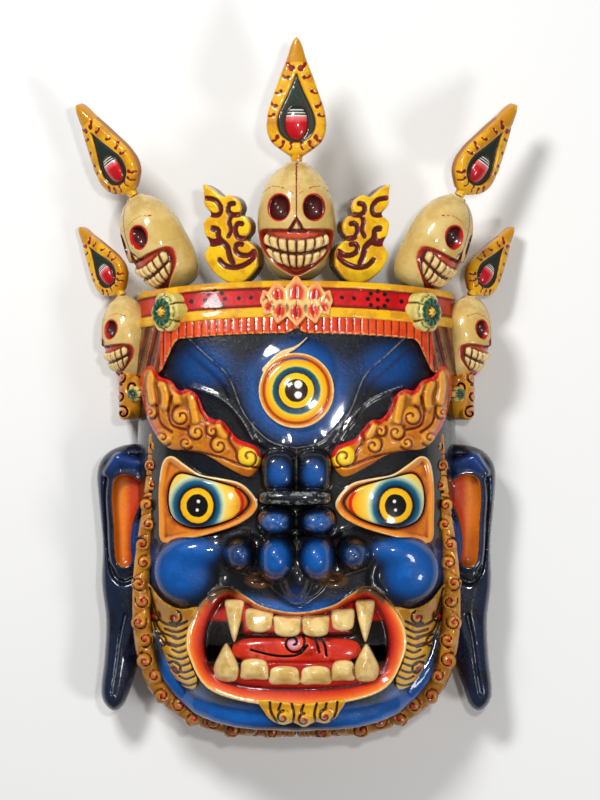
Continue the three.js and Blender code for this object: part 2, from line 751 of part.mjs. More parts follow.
function piece(name, form, color, roughness) {
  const mesh = new THREE.Mesh(toGeometry(form), new THREE.MeshStandardMaterial({ color, roughness, metalness: 0 }));
  mesh.name = name;
  return mesh;
}

const group = new THREE.Group();
const envelope = headEnvelope(jointGap);
group.add(piece('mask', maskSolid(), paint.blue, 0.25));
const sideNames = new Map([[-1, 'left'], [1, 'right']]);
for (const stand of skullStands) {
  for (const side of stand.across === 0 ? [0] : sides) {
    const name = side === 0 ? stand.level : `${sideNames.get(side)}_${stand.level}`;
    group.add(piece(`skull_${name}`, crownSkull(stand, side, envelope), paint.cream, 0.4));
    group.add(piece(`flame_${name}`, crownFlame(stand, side), paint.gold, 0.3));
  }
}
for (const side of sides) {
  group.add(piece(`scroll_${sideNames.get(side)}`, crownScroll(side, envelope), paint.gold, 0.3));
  group.add(piece(`ear_${sideNames.get(side)}`, sideEar(side, envelope), paint.navy, 0.25));
}

// The origin is the middle of the underside of the whole object
const box = new THREE.Box3().setFromObject(group);
group.position.set(-(box.min.x + box.max.x) / 2, -(box.min.y + box.max.y) / 2, -box.min.z);

export default group;
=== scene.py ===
"""Look of a carved and painted wooden cham mask that lies on its back, seen from above.

Lengths are millimetres in the frame of the head: x across, y up the face, z out of the face,
with the middle of the head at 0, 0 and the back rim at z = 0.
"""
import math

import bpy
import numpy as np
import openvdb
from mathutils import Matrix, Vector


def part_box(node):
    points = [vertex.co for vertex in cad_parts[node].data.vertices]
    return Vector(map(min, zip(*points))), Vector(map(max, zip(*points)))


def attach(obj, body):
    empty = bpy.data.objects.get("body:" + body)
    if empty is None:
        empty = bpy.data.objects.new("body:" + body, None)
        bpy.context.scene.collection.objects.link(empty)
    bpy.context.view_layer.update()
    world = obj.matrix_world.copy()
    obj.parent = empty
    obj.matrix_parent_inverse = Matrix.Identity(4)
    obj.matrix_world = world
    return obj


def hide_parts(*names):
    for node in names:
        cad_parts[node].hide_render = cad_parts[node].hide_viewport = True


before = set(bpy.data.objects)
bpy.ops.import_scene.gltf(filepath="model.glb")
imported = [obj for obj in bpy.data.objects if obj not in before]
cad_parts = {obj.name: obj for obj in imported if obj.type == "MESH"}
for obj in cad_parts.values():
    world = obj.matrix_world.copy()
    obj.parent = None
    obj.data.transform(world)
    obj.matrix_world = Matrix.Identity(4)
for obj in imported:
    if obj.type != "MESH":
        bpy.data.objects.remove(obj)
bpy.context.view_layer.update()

# Head
HALF_WIDTH = 137.0
HALF_LENGTH = 193.0
HEAD_DEPTH = 126.0
WALL = 13.0
CROWN_REACH = 1.3
CROWN_FLATNESS = 5.0
JAW_ROUNDNESS = 2.6
FULLNESS = 2.8
MUZZLE_MIDDLE = (0.0, -115.8, 73.0)
MUZZLE_RADII = (106.0, 71.4, 63.7)

# Crown band and frill
BAND_HEIGHT = 31.0
BAND_RELIEF = 8.0
BAND_DROP = 9.0
BAND_TOP_RIM = 5.0
BAND_LOW_RIM = 8.0
FRILL_HEIGHT = 13.5
PLEAT_PITCH = 6.4

# Crown pieces
SKULL_HEIGHT = 100.0
SKULL_WIDTH = 66.0
FLAME_LENGTH = 106.0
FLAME_HALF_WIDTH = 25.4
FLAME_THICKNESS = 15.0
SCROLL_SIZE = (50.0, 86.0)
SCROLL_THICKNESS = 18.0
EAR_SIZE = (46.0, 228.0)
EAR_THICKNESS = 34.0
JOINT_GAP = 0.3

SIDES = (-1, 1)
FAR = 50.0
FINEST_CELL = 0.7
CREST_REACH = 2.2
MOST_TRIANGLES = {
    "face": 160000, "teeth": 34000, "tongue": 12000, "eye": 26000, "third_eye": 24000, "brow": 40000,
    "whiskers": 24000, "beard": 50000, "tuft": 14000, "band": 40000, "frill": 46000, "lotus": 24000,
    "rosette": 10000, "lappet": 12000, "skull": 25000, "flame": 14000, "scroll": 18000, "ear": 20000,
}
MM = 0.001

# The skull at the middle of the crown stands on the band, so its foot gives where the head lies
skull_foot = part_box("skull_centre")[0][1] / MM
HEAD_SHIFT = HALF_LENGTH + JOINT_GAP - skull_foot
TO_WORLD = Matrix.Scale(MM, 4) @ Matrix.Translation((0.0, -HEAD_SHIFT, 0.0))


# Plane figures

def smooth_line(points, count=40, closed=False):
    """A smooth line through a few points."""
    p = np.array(points, float)
    spans = len(p) if closed else len(p) - 1
    at = np.linspace(0, spans, count, endpoint=not closed)
    first = np.minimum(at.astype(int), spans - 1)
    t = (at - first)[:, None]

    def near(step):
        index = first + step
        return p[index % len(p)] if closed else p[np.clip(index, 0, len(p) - 1)]

    a, b, c, d = near(-1), near(0), near(1), near(2)
    square = 2 * a - 5 * b + 4 * c - d
    cube = 3 * b - a - 3 * c + d
    return 0.5 * (2 * b + (c - a) * t + square * t ** 2 + cube * t ** 3)


def mirrored(points):
    """The right half of an outline, from top middle to bottom middle, with its left half added."""
    left = [(-x, y) for x, y in points[1:-1]]
    return list(points) + left[::-1]


def line_distance(x, y, line):
    best = np.float32(FAR * 4)
    for (ax, ay), (bx, by) in zip(line[:-1], line[1:]):
        dx, dy = float(bx - ax), float(by - ay)
        t = np.clip(((x - ax) * dx + (y - ay) * dy) / (dx * dx + dy * dy + 1e-9), 0, 1)
        best = np.minimum(best, np.hypot(x - float(ax) - t * dx, y - float(ay) - t * dy))
    return best


def outline_distance(x, y, ring):
    """Distance from a closed outline, negative inside it."""
    ring = np.vstack([ring, ring[:1]])
    away = line_distance(x, y, ring)
    odd = np.zeros(np.broadcast(x, y).shape, bool)
    for (ax, ay), (bx, by) in zip(ring[:-1], ring[1:]):
        if ay != by:
            crosses = (y < ay) != (y < by)
            odd ^= crosses & (x < ax + (y - ay) / (by - ay) * (bx - ax))
    return np.where(odd, -away, away)


def spiral(centre, radius, turns, start, hand=1):
    """A line that winds in to its centre. The start angle is in turns."""
    winding = np.linspace(0, 1, int(14 * turns) + 4)
    angle = 2 * math.pi * (start + hand * turns * winding)
    reach = radius * (1 - 0.85 * winding)
    return np.stack([centre[0] + reach * np.cos(angle), centre[1] + reach * np.sin(angle)], 1)


def nearest_line(x, y, lines):
    best = np.float32(FAR * 4)
    for line in lines:
        best = np.minimum(best, line_distance(x, y, line))
    return best


def scaled(line, size):
    """Points given as shares of a width and a height."""
    return [(x * size[0], y * size[1]) for x, y in line]


def curls(items, turns=1.15):
    """The spiral lines of curls, each given by its centre, radius, start and hand."""
    return [spiral((x, y), radius, turns, start, hand) for x, y, radius, start, hand in items]


def nearest_disc(x, y, items, share):
    """Distance from the nearest disc in the middle of a curl; its radius is a share of the curl's."""
    best = np.float32(FAR)
    for cx, cy, radius, *_ in items:
        best = np.minimum(best, np.hypot(x - cx, y - cy) - radius * share)
    return best


def coil_height(x, y, items, height, start):
    """The swell of curls that stand out of a relief."""
    best = 0.0
    for cx, cy, radius, *_ in items:
        inwards = radius - np.hypot(x - cx, y - cy)
        best = np.maximum(best, height * eased(inwards, start, radius * 0.7))
    return best


def eased(value, low, high):
    """0 below low, 1 above high and a soft step between them."""
    t = np.clip((value - low) / (high - low), 0, 1)
    return t * t * (3 - 2 * t)


# Clay: a block of cells, each with its distance from the surface

def soft_min(a, b, blend):
    if blend <= 0:
        return np.minimum(a, b)
    mixed = np.clip(0.5 + 0.5 * (b - a) / blend, 0, 1)
    return b + (a - b) * mixed - blend * mixed * (1 - mixed)


def soft_max(a, b, blend):
    return -soft_min(-a, -b, blend)


def boxed(form, low, high):
    form.box = (low, high)
    return form


def lump(centre, radii, power=2.0):
    """An ellipsoid; a higher power makes it more like a block."""
    centre = [float(c) for c in centre]

    def form(x, y, z):
        ways = (x - centre[0], y - centre[1], z - centre[2])
        level = sum(np.abs(way / radius) ** power for way, radius in zip(ways, radii)) ** (1 / power)
        away = np.sqrt(sum(way * way for way in ways))
        return away * (1 - 1 / np.maximum(level, 0.02))

    return boxed(form, [c - r for c, r in zip(centre, radii)], [c + r for c, r in zip(centre, radii)])


def tube(line, radius):
    """A round bar along a line of points; the radius may change along it."""
    line = np.array(line, float)
    radii = np.broadcast_to(radius, len(line)).astype(float)

    def form(x, y, z):
        best = np.float32(FAR)
        for a, b, start, end in zip(line[:-1], line[1:], radii[:-1], radii[1:]):
            way = b - a
            t = ((x - a[0]) * way[0] + (y - a[1]) * way[1] + (z - a[2]) * way[2]) / max(way @ way, 1e-6)
            t = np.clip(t, 0, 1)
            ways = (x - a[0] - t * way[0], y - a[1] - t * way[1], z - a[2] - t * way[2])
            away = np.sqrt(sum(part ** 2 for part in ways))
            best = np.minimum(best, away - (start + (end - start) * t))
        return best

    widest = radii.max()
    return boxed(form, line.min(0) - widest, line.max(0) + widest)


class Clay:
    """Soft forms are joined to it and carved from it, and its surface is cast as a mesh."""

    def __init__(self, low, high, cell):
        self.cell = cell * 1
        self.low = np.array(low, float)
        counts = [int((b - a) / self.cell) + 2 for a, b in zip(low, high)]
        lines = [a + self.cell * np.arange(n) for a, n in zip(low, counts)]
        lines = [line.astype(np.float32) for line in lines]
        self.x, self.y, self.z = np.meshgrid(*lines, indexing="ij", sparse=True)
        self.depth = np.full(counts, FAR, np.float32)

    def part(self, form, margin):
        """The cells that a boxed form can change."""
        if not hasattr(form, "box"):
            return (slice(None),) * 3
        ranges = []
        for low, high, start, count in zip(*form.box, self.low, self.depth.shape):
            first = int((low - margin - start) / self.cell)
            last = int((high + margin - start) / self.cell) + 2
            ranges.append(slice(max(0, min(count, first)), max(0, min(count, last))))
        return tuple(ranges)

    def join(self, form, blend=0.0):
        i, j, k = part = self.part(form, blend + 2)
        away = form(self.x[i], self.y[:, j], self.z[:, :, k])
        self.depth[part] = soft_min(self.depth[part], away, blend)

    def carve(self, form, blend=0.0):
        i, j, k = part = self.part(form, blend + 2)
        away = form(self.x[i], self.y[:, j], self.z[:, :, k])
        self.depth[part] = soft_max(self.depth[part], -away, blend)

    def keep(self, form, blend=0.0):
        self.depth = soft_max(self.depth, form(self.x, self.y, self.z), blend)

    def crests(self, reach):
        """How far each cell stands out of its surroundings: positive on edges, negative in grooves."""
        step = max(1, round(reach / self.cell))
        blurred = self.depth.clip(-reach * 3, reach * 3)
        plain = blurred.copy()
        for axis in range(3):
            ahead = np.roll(blurred, step, axis)
            behind = np.roll(blurred, -step, axis)
            blurred = (ahead + behind + blurred) / 3
        return blurred - plain

    def at(self, field, points):
        """The value of a field of cells at each point."""
        place = (points - self.low) / self.cell
        base = np.clip(np.floor(place).astype(int), 0, np.array(self.depth.shape) - 2)
        share = np.clip(place - base, 0, 1)
        total = 0
        for corner in range(8):
            step = np.array([corner & 1, corner >> 1 & 1, corner >> 2 & 1])
            weight = np.prod(np.where(step, share, 1 - share), axis=1)
            i, j, k = (base + step).T
            total = total + weight * field[i, j, k]
        return total

    def cast(self, name, paints=None):
        """The surface as a mesh, with its paint distances on its points."""
        reach = 3 * self.cell
        field = np.clip(self.depth, -reach, reach) / self.cell
        for axis in range(3):
            for edge in (0, -1):
                border = [slice(None)] * 3
                border[axis] = edge
                field[tuple(border)] = 3.0
        grid = openvdb.FloatGrid(3.0)
        grid.copyFromArray(np.ascontiguousarray(field, np.float32), tolerance=0)
        grid.gridClass = openvdb.GridClass.LEVEL_SET
        points, quads = grid.convertToQuads(isovalue=0)
        points = points * self.cell + self.low
        mesh = thinned(mesh_of(points, quads), MOST_TRIANGLES[name])
        spots = np.zeros(len(mesh.vertices) * 3, np.float32)
        mesh.vertices.foreach_get("co", spots)
        spots = spots.reshape(-1, 3)
        values = {"crest": self.at(self.crests(CREST_REACH), spots)}
        if paints:
            values.update(paints(*spots.T))
        for kind, value in values.items():
            held = mesh.attributes.new(kind, "FLOAT", "POINT")
            held.data.foreach_set("value", np.broadcast_to(value, len(spots)).astype(np.float32))
        return mesh


def mesh_of(points, quads):
    a, b, c, d = (points[quads[:, i]] for i in range(4))
    volume = np.einsum("ij,ij->", np.cross(a, b), c) + np.einsum("ij,ij->", np.cross(a, c), d)
    if volume < 0:
        quads = quads[:, ::-1]
    mesh = bpy.data.meshes.new("cast")
    mesh.vertices.add(len(points))
    mesh.vertices.foreach_set("co", points.astype(np.float32).ravel())
    mesh.loops.add(quads.size)
    mesh.loops.foreach_set("vertex_index", quads.astype(np.int32).ravel())
    mesh.polygons.add(len(quads))
    mesh.polygons.foreach_set("loop_start", np.arange(0, quads.size, 4, dtype=np.int32))
    mesh.update(calc_edges=True)
    mesh.validate()
    return mesh


def thinned(mesh, most):
    triangles = 2 * len(mesh.polygons)
    if triangles > most:
        holder = bpy.data.objects.new("holder", mesh)
        bpy.context.scene.collection.objects.link(holder)
        holder.modifiers.new("thin", "DECIMATE").ratio = most / triangles
        bpy.context.view_layer.update()
        shown = holder.evaluated_get(bpy.context.evaluated_depsgraph_get())
        mesh = bpy.data.meshes.new_from_object(shown)
        bpy.data.objects.remove(holder)
    mesh.polygons.foreach_set("use_smooth", np.ones(len(mesh.polygons), bool))
    return mesh


def piece(name, mesh, node, material, place=None):
    """One visible piece: a copy of a cast put in its place on the head."""
    matrix = TO_WORLD @ (place or Matrix.Identity(4))
    body = mesh.copy()
    body.transform(matrix)
    if matrix.determinant() < 0:
        body.flip_normals()
    body.materials.clear()
    body.materials.append(material)
    made = bpy.data.objects.new(name, body)
    bpy.context.scene.collection.objects.link(made)
    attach(made, "root")
    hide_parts(node)
    return made


def both_sides(name, mesh, node, material, place=None):
    """A piece and its mirror image; a node name may hold the word SIDE."""
    place = place or Matrix.Identity(4)
    for side, word in ((1, "right"), (-1, "left")):
        flip = Matrix.Diagonal((side, 1, 1, 1))
        piece(f"{name}_{word}", mesh, node.replace("SIDE", word), material, flip @ place)


# The head, which the carved ornament follows

def plan_level(x, y, grow=0.0):
    power = np.where(y > 0, CROWN_FLATNESS, JAW_ROUNDNESS)
    reach = np.where(y > 0, HALF_LENGTH * CROWN_REACH, HALF_LENGTH) + grow
    return (np.abs(x / (HALF_WIDTH + grow)) ** power + np.abs(y / reach) ** power) ** (1 / power)


def head(x, y, z, grow=0.0):
    level = plan_level(x, y, grow) ** FULLNESS + np.abs(z / (HEAD_DEPTH + grow)) ** FULLNESS
    level = level ** (1 / FULLNESS)
    return np.sqrt(x * x + y * y + z * z) * (1 - 1 / np.maximum(level, 0.05))


def muzzle_lump(shrink=0.0):
    return lump(MUZZLE_MIDDLE, [r - shrink for r in MUZZLE_RADII])


def skin(x, y, z):
    return soft_min(head(x, y, z), muzzle_lump()(x, y, z), 10.0)


def muzzle_height(x, y):
    left = 1 - (x / MUZZLE_RADII[0]) ** 2 - ((y - MUZZLE_MIDDLE[1]) / MUZZLE_RADII[1]) ** 2
    return MUZZLE_MIDDLE[2] + MUZZLE_RADII[2] * np.sqrt(np.maximum(left, 0))


def skin_height(x, y):
    swell = np.maximum(1 - plan_level(x, y) ** FULLNESS, 0) ** (1 / FULLNESS)
    return np.maximum(HEAD_DEPTH * swell, muzzle_height(x, y) * (plan_level(x, y) < 1))


def height_at(x, y):
    """The height of the skin at one point."""
    return float(skin_height(np.float64(x), np.float64(y)))


def on_skin(line, lift=0.0):
    """Points of the plane put on the skin."""
    return [(x, y, height_at(x, y) + lift) for x, y in line]


def band_drop(x, y):
    """How far below the arched upper edge of the band a point is."""
    return HALF_LENGTH - BAND_DROP * (x / HALF_WIDTH) ** 2 - y


def relief(outline, rise, sink=2.5, softness=1.5):
    """A raised plate on the skin. The outline is negative inside, and the rise is its height."""
    def form(x, y, z):
        over = skin(x, y, z)
        top = soft_max(over - rise(x, y), outline(x, y), softness)
        return np.maximum(top, -sink - over)
    return form


# Mouth

OUTER_LIP = smooth_line(mirrored([
    (0, -83.5), (28, -78.5), (44, -69.5), (59, -62.5), (75, -72), (87.5, -90),
    (92, -106), (89.5, -122), (75, -147), (44, -158), (0, -162),
]), 90, True)
INNER_LIP = smooth_line(mirrored([
    (0, -87.5), (28, -84), (45, -76.5), (59, -72), (70, -82), (77, -99),
    (78, -117), (71, -134), (51, -144), (25, -147), (0, -147.5),
]), 90, True)
LIP_RISE = 6.0
LIP_SLOPE = 15.0
MOUTH_DEPTH = 15.0
GUM_DEPTH = 26.0
GUM_RISE = 8.0
GUM_LINE = -113.0
LIP_STEP = 3.0
SLOT_Y = (-125.0, -113.0)
SLOT_HALF_WIDTH = 74.0


def lip_share(x, y):
    """0 at the outer edge of the lips and 1 where they meet the mouth."""
    inwards = -outline_distance(x, y, OUTER_LIP)
    outwards = outline_distance(x, y, INNER_LIP)
    return np.clip(inwards / np.maximum(inwards + np.maximum(outwards, 0), 0.1), 0, 1)


def lips_and_mouth(clay):
    def room(x, y, z):
        deepest = muzzle_height(x, y) - MOUTH_DEPTH - 3
        return np.maximum(outline_distance(x, y, OUTER_LIP), deepest - z)

    def floor(x, y, z):
        share = lip_share(x, y)
        inside = np.clip(-outline_distance(x, y, INNER_LIP), 0, LIP_STEP) / LIP_STEP
        slope = LIP_RISE - LIP_SLOPE * share ** 1.2 - 0.8 * np.sin(share * math.pi)
        gum = eased(np.abs(y - GUM_LINE), 8, 13) * (1 - eased(np.abs(x), 44, 52) * (y > GUM_LINE))
        sunk = MOUTH_DEPTH + LIP_RISE - LIP_SLOPE - GUM_RISE * gum
        height = muzzle_height(x, y) + slope - sunk * inside
        away = np.maximum((z - height) * 0.7, outline_distance(x, y, OUTER_LIP))
        return np.maximum(away, muzzle_height(x, y) - GUM_DEPTH - z)

    def slot(x, y, z):
        middle = (SLOT_Y[0] + SLOT_Y[1]) / 2
        half = (SLOT_Y[1] - SLOT_Y[0]) / 2
        return np.maximum(np.abs(y - middle) - half, np.abs(x) - SLOT_HALF_WIDTH)

    low, high = (-96, -168, 20), (96, -64, 150)
    clay.carve(boxed(room, low, high))
    clay.join(boxed(floor, low, high), 0.6)
    clay.carve(boxed(slot, (-76, -127, -3), (76, -111, 168)), 1.5)


# Face

EYE_MIDDLE = (82.0, 5.0)
THIRD_EYE = (0.0, 100.8)
THIRD_EYE_RADIUS = 31.3
NOSTRILS = (31.0, -57.0)
FOREHEAD_RIDGE = [(96, 150), (76, 131), (57, 113), (45, 84), (30, 65), (17, 56.5), (0, 53)]
FOREHEAD_FOLDS = [[(36, 60), (46, 78), (62, 94), (86, 104)], [(30, 58), (36, 70), (33, 82)]]
# Where the black face turns blue: x, y, half width, half height and strength
BLUE_AREAS = [
    (0, 100.8, 52, 52, 1.0), (0, 100.8, 56, 54, 0.7), (84, -31, 32, 13, 0.85), (76, 121, 42, 32, 0.6),
    (96, -51, 33, 32, 1.0), (74, -38, 20, 13, 0.2), (14.5, 32, 15, 18, 0.75), (18, -8, 17, 12, 0.85),
    (17, -38, 18.5, 21, 1.0), (47, -36, 15, 15, 0.55), (0, -81, 60, 13, 0.9), (45, -72, 30, 9, 0.45),
    (56, -172, 70, 16, 1.0), (88, -160, 24, 20, 0.9), (106, -140, 14, 38, 0.85), (122, -40, 10, 32, 0.4),
    (0, -67, 18, 11, 0.45),
]
NOSE_LEAF = smooth_line(mirrored([
    (0, -20), (26, -22), (50, -24), (60, -34), (59, -47), (44, -50), (27, -57), (17, -68), (0, -76.5),
]), 60, True)
NOSE_WING = smooth_line([(58, -47), (46, -51), (27, -58), (17, -68), (8, -74.5), (0, -76.5)], 20)
NOSE_MIDLINE = np.array([(0, 52), (0, -22)])
NOSTRIL_SIZE = (12.0, 6.5)
# The lumps beside the middle of the nose, from the top: centre, radii, power and blend
NOSE_LUMPS = [
    ((13.8, 55, 110), (14, 22, 17), 2.0, 6), ((14.4, 33.5, 123), (15, 18.5, 25.5), 3.0, 1.2),
    ((16.6, -8, 126), (16.6, 13, 37), 2.3, 0.8), ((16.5, -37.5, 126), (16.8, 21.5, 40.5), 2.2, 0.8),
]
CHEEK_LUMPS = [(79, -33, (25, 13, 14)), (94, -50, (25, 27.5, 18.5))]
CHEEK_FOLD = [(30, -28), (44, -18), (60, -23), (66, -38), (62, -56), (70, -68)]
JAW_PATH = [(119, -104), (115, -122), (104, -142), (81, -161), (44, -171.5), (0, -172.5)]
JAW_STEPS = 14
TERRACES = ((5.5, 1.4), (0.0, 3.2))
# Middle height of the band across the mouth, between the upper teeth and the tongue, painted near-black as
# shade
MOUTH_SHADE_Y = -107.0


def nose(clay):
    def leaf(x, y, z):
        top = 141 - 0.28 * np.abs(x) - 0.10 * np.abs(y + 40)
        return soft_max(soft_max(outline_distance(x, y, NOSE_LEAF), z - top, 5), 90 - z, 1)

    clay.join(boxed(leaf, (-62, -80, 88), (62, -18, 146)), 3)
    clay.join(lump((0, -52, 124), (15, 24, 27)), 4)
    clay.join(lump((-1, 12, 126), (30, 7.6, 31), 3.2), 1.5)
    for side in SIDES:
        clay.join(lump((side * 46.5, -35, 118), (15.5, 16, 33)), 1.2)
        clay.carve(lump((side * NOSTRILS[0], NOSTRILS[1], 143), (13, 6.5, 22)), 2.5)
        for (x, y, z), radii, power, blend in NOSE_LUMPS:
            clay.join(lump((side * x, y, z), radii, power), blend)


def forehead(clay):
    """The brow in terraces: each steps down from the third eye to the temple along a worn edge."""
    clay.join(lump((*THIRD_EYE, height_at(*THIRD_EYE) - 9), (48, 47, 14)), 8)
    path = [tuple(point) for point in smooth_line(FOREHEAD_RIDGE, 24)]
    for spread, rise in TERRACES:
        ring = [(x + spread, y - spread) for x, y in path]
        ring = np.array(mirrored([(0, 166), (100, 166)] + ring))
        step = relief(lambda x, y: outline_distance(x, y, ring), lambda x, y: rise, 6, 1.4)
        clay.join(boxed(step, (-106, 40, 70), (106, 168, 132)), 0.6)
    for side in SIDES:
        for bend in FOREHEAD_FOLDS:
            fold = on_skin([(side * x, y) for x, y in smooth_line(bend, 10)], -2.2)
            clay.join(tube(fold, 3.4), 1.5)


def cheeks_and_jaw(clay):
    jaw_radii = np.interp(np.arange(JAW_STEPS), [0, 8, 13], [3, 12, 10.5])
    for side in SIDES:
        for x, y, radii in CHEEK_LUMPS:
            clay.join(lump((side * x, y, height_at(x, y) - 4), radii), 9)
        jaw = [(side * x, y) for x, y in smooth_line(JAW_PATH, JAW_STEPS)]
        clay.join(tube(on_skin(jaw, -6.5), jaw_radii), 5)
        fold = smooth_line([(side * x, y) for x, y in CHEEK_FOLD], 14)
        clay.join(tube(on_skin(fold, -0.5), 3.4), 4)


def face_room(x, y, z):
    """The hollow behind the face."""
    inner = np.minimum(head(x, y, z, -WALL), muzzle_lump(WALL)(x, y, z))
    return np.maximum(inner, WALL - band_drop(x, y))


def face_paints(x, y, z):
    ax = np.abs(x)
    clear = np.ones_like(x)
    for bx, by, width, height, strength in BLUE_AREAS:
        away = np.hypot((ax - bx) / width, (y - by) / height)
        clear = clear * (1 - strength * (1 - eased(away, 0.2, 1.15)))
    nostril = np.hypot((ax - NOSTRILS[0]) / NOSTRIL_SIZE[0], (y - NOSTRILS[1]) / NOSTRIL_SIZE[1])
    folds = [smooth_line(fold, 10) for fold in FOREHEAD_FOLDS]
    creases = [smooth_line(FOREHEAD_RIDGE, 24), NOSE_WING, NOSE_MIDLINE] + folds
    mouth = outline_distance(x, y, INNER_LIP)
    in_mouth = (mouth < LIP_STEP) & (z > muzzle_height(x, y) - 22)
    # Painted shade: the mouth is near-black in a band above the slot and towards its ends
    shade_corners = np.maximum(44 - ax, np.abs(y - MOUTH_SHADE_Y + 4) - 19)
    return {
        # Painted highlights: thin broken grey lines along these ridges and creases
        "crease": nearest_line(ax, y, creases) + FAR * (z < 80),
        "blue": (1 - clear) * eased(z, 20, 45),
        "lip": outline_distance(x, y, OUTER_LIP) + FAR * (z < 60),
        "lip_share": lip_share(x, y),
        "mouth": mouth,
        "mouth_shade": np.minimum(np.abs(y - MOUTH_SHADE_Y) - 6.5, shade_corners),
        "wall": z - 44 + FAR * (y > -120),
        "nostril": nostril + (z < 110),
        "inside": face_room(x, y, z) - WALL * 0.4 + FAR * in_mouth,
    }


def face_mesh():
    clay = Clay((-150, -200, -3.5), (150, 197, 168.5), 1.3)
    clay.join(skin)
    forehead(clay)
    nose(clay)
    cheeks_and_jaw(clay)
    for side in SIDES:
        x, y = EYE_MIDDLE
        clay.carve(lump((side * x, y, 128), (34, 26, 18)), 4)
    clay.carve(face_room)
    lips_and_mouth(clay)
    clay.keep(lambda x, y, z: -band_drop(x, y), 1.0)
    clay.keep(lambda x, y, z: 0.4 - z)
    clay.keep(lambda x, y, z: z - 167.2)
    return clay.cast("face", face_paints)


# Teeth and tongue

# Tooth outlines from the root at 0 to the tip at 1, and teeth as x, root, tip and width
TOOTH = [(-0.5, 0), (0, -0.02), (0.5, 0), (0.53, 0.5), (0.42, 0.88), (0, 1), (-0.42, 0.88), (-0.53, 0.5)]
FANG = [
    (-0.5, 0), (0, -0.02), (0.5, 0), (0.47, 0.25), (0.3, 0.62), (0.07, 1), (-0.07, 1), (-0.3, 0.62),
    (-0.47, 0.25),
]
TUSK = [
    (-0.3, 0), (0.3, 0), (0.5, 0.18), (0.52, 0.42), (0.34, 0.68), (0.08, 1), (-0.08, 1), (-0.34, 0.68),
    (-0.52, 0.42), (-0.5, 0.18),
]
UPPER_TEETH = [
    (-31, -81.5, -100.5, 22), (-7.5, -86.5, -104, 22), (16, -86.5, -104, 22), (38.5, -81.5, -99.5, 18.5),
]
LOWER_TEETH = [
    (-35, -139.5, -122, 22.5), (-10, -143.5, -127.5, 24), (16.3, -143.5, -127.5, 24),
    (39, -140.5, -123.5, 19),
]
UPPER_FANGS = [(-51.8, -74.5, -107.5, 16), (57.4, -75, -107.5, 16)]
LOWER_FANGS = [(-58.4, -142, -111, 20.5), (58.4, -142, -111.5, 20.5)]
TOOTH_ROWS = (
    (UPPER_TEETH, TOOTH, 5.0), (LOWER_TEETH, TOOTH, 5.0),
    (UPPER_FANGS, FANG, 6.5), (LOWER_FANGS, TUSK, 8.0),
)


def tooth(clay, outline, x, root, tip, width, swell):
    ring = smooth_line([(x + u * width, root + v * (tip - root)) for u, v in outline], 30, True)

    def form(x, y, z):
        edge = outline_distance(x, y, ring)
        height = muzzle_height(x, y)
        top = height - 7.5 + swell * np.sqrt(np.clip(-edge / 6, 0, 1))
        return np.maximum(soft_max(z - top, edge, 1.6), height - 18 - z)

    middle = (root + tip) / 2
    reach = abs(tip - root) / 2 + 2
    height = float(muzzle_height(x, middle))
    low = (x - width / 2 - 2, middle - reach, height - 26)
    high = (x + width / 2 + 2, middle + reach, height + 8)
    clay.join(boxed(form, low, high))


def teeth_mesh():
    clay = Clay((-74, -148, 80), (74, -71, 142), 0.8)
    for teeth, outline, swell in TOOTH_ROWS:
        for x, root, tip, width in teeth:
            tooth(clay, outline, x, root, tip, width, swell)
    return clay.cast("teeth")


TONGUE_CURL = (-2.6, -109.0)
TONGUE_STROKES = [
    [(-38, -115), (-16, -120), (1, -119), (9, -111)], [(3, -101), (15, -106), (19, -117)],
    [(8, -101), (22, -108), (25, -120)],
]


def tongue_mesh():
    clay = Clay((-60, -134, 90), (60, -98, 138), 0.8)
    clay.join(lump((0, -115.5, 109), (54, 13, 15), 2.8))
    clay.join(lump((4, -112, 110), (23, 12, 18.5)), 1.2)
    lines = [spiral(TONGUE_CURL, 10, 1.3, 0.1, -1)]
    lines += [smooth_line(stroke, 12) for stroke in TONGUE_STROKES]

    def groove(x, y, z):
        return nearest_line(x, y, lines) - 0.9 + np.maximum(118 - z, 0)

    def paints(x, y, z):
        curl = np.hypot(x - TONGUE_CURL[0], y - TONGUE_CURL[1])
        return {"ink": nearest_line(x, y, lines), "curl": curl}

    clay.carve(boxed(groove, (-42, -130, 90), (30, -98, 138)), 0.8)
    return clay.cast("tongue", paints)


# Eyes

EYE_RIM = smooth_line([
    (32, 6), (38, 17), (48, 24.5), (64, 28), (80, 31), (93, 39), (104, 46), (112, 41),
    (115.5, 22), (115.5, -4), (113, -26), (92, -23.5), (70, -18), (52, -12), (38, -4),
], 70, True)
EYE_BALL = smooth_line([
    (39, 8), (48, 19), (64, 24.5), (82, 29), (98, 31.5), (106, 21), (107, 4), (101, -8), (86, -13.5),
    (66, -10.5), (48, -3),
], 60, True)
RED_ARC = smooth_line([(50, 19), (45, 10), (46, 1), (52, -6)], 14)
EYE_RISE = 9.0
EYE_FALL = 10.5
THIRD_EYE_TAIL = [(-26, 118), (-14, 130), (0, 137), (9, 145)]


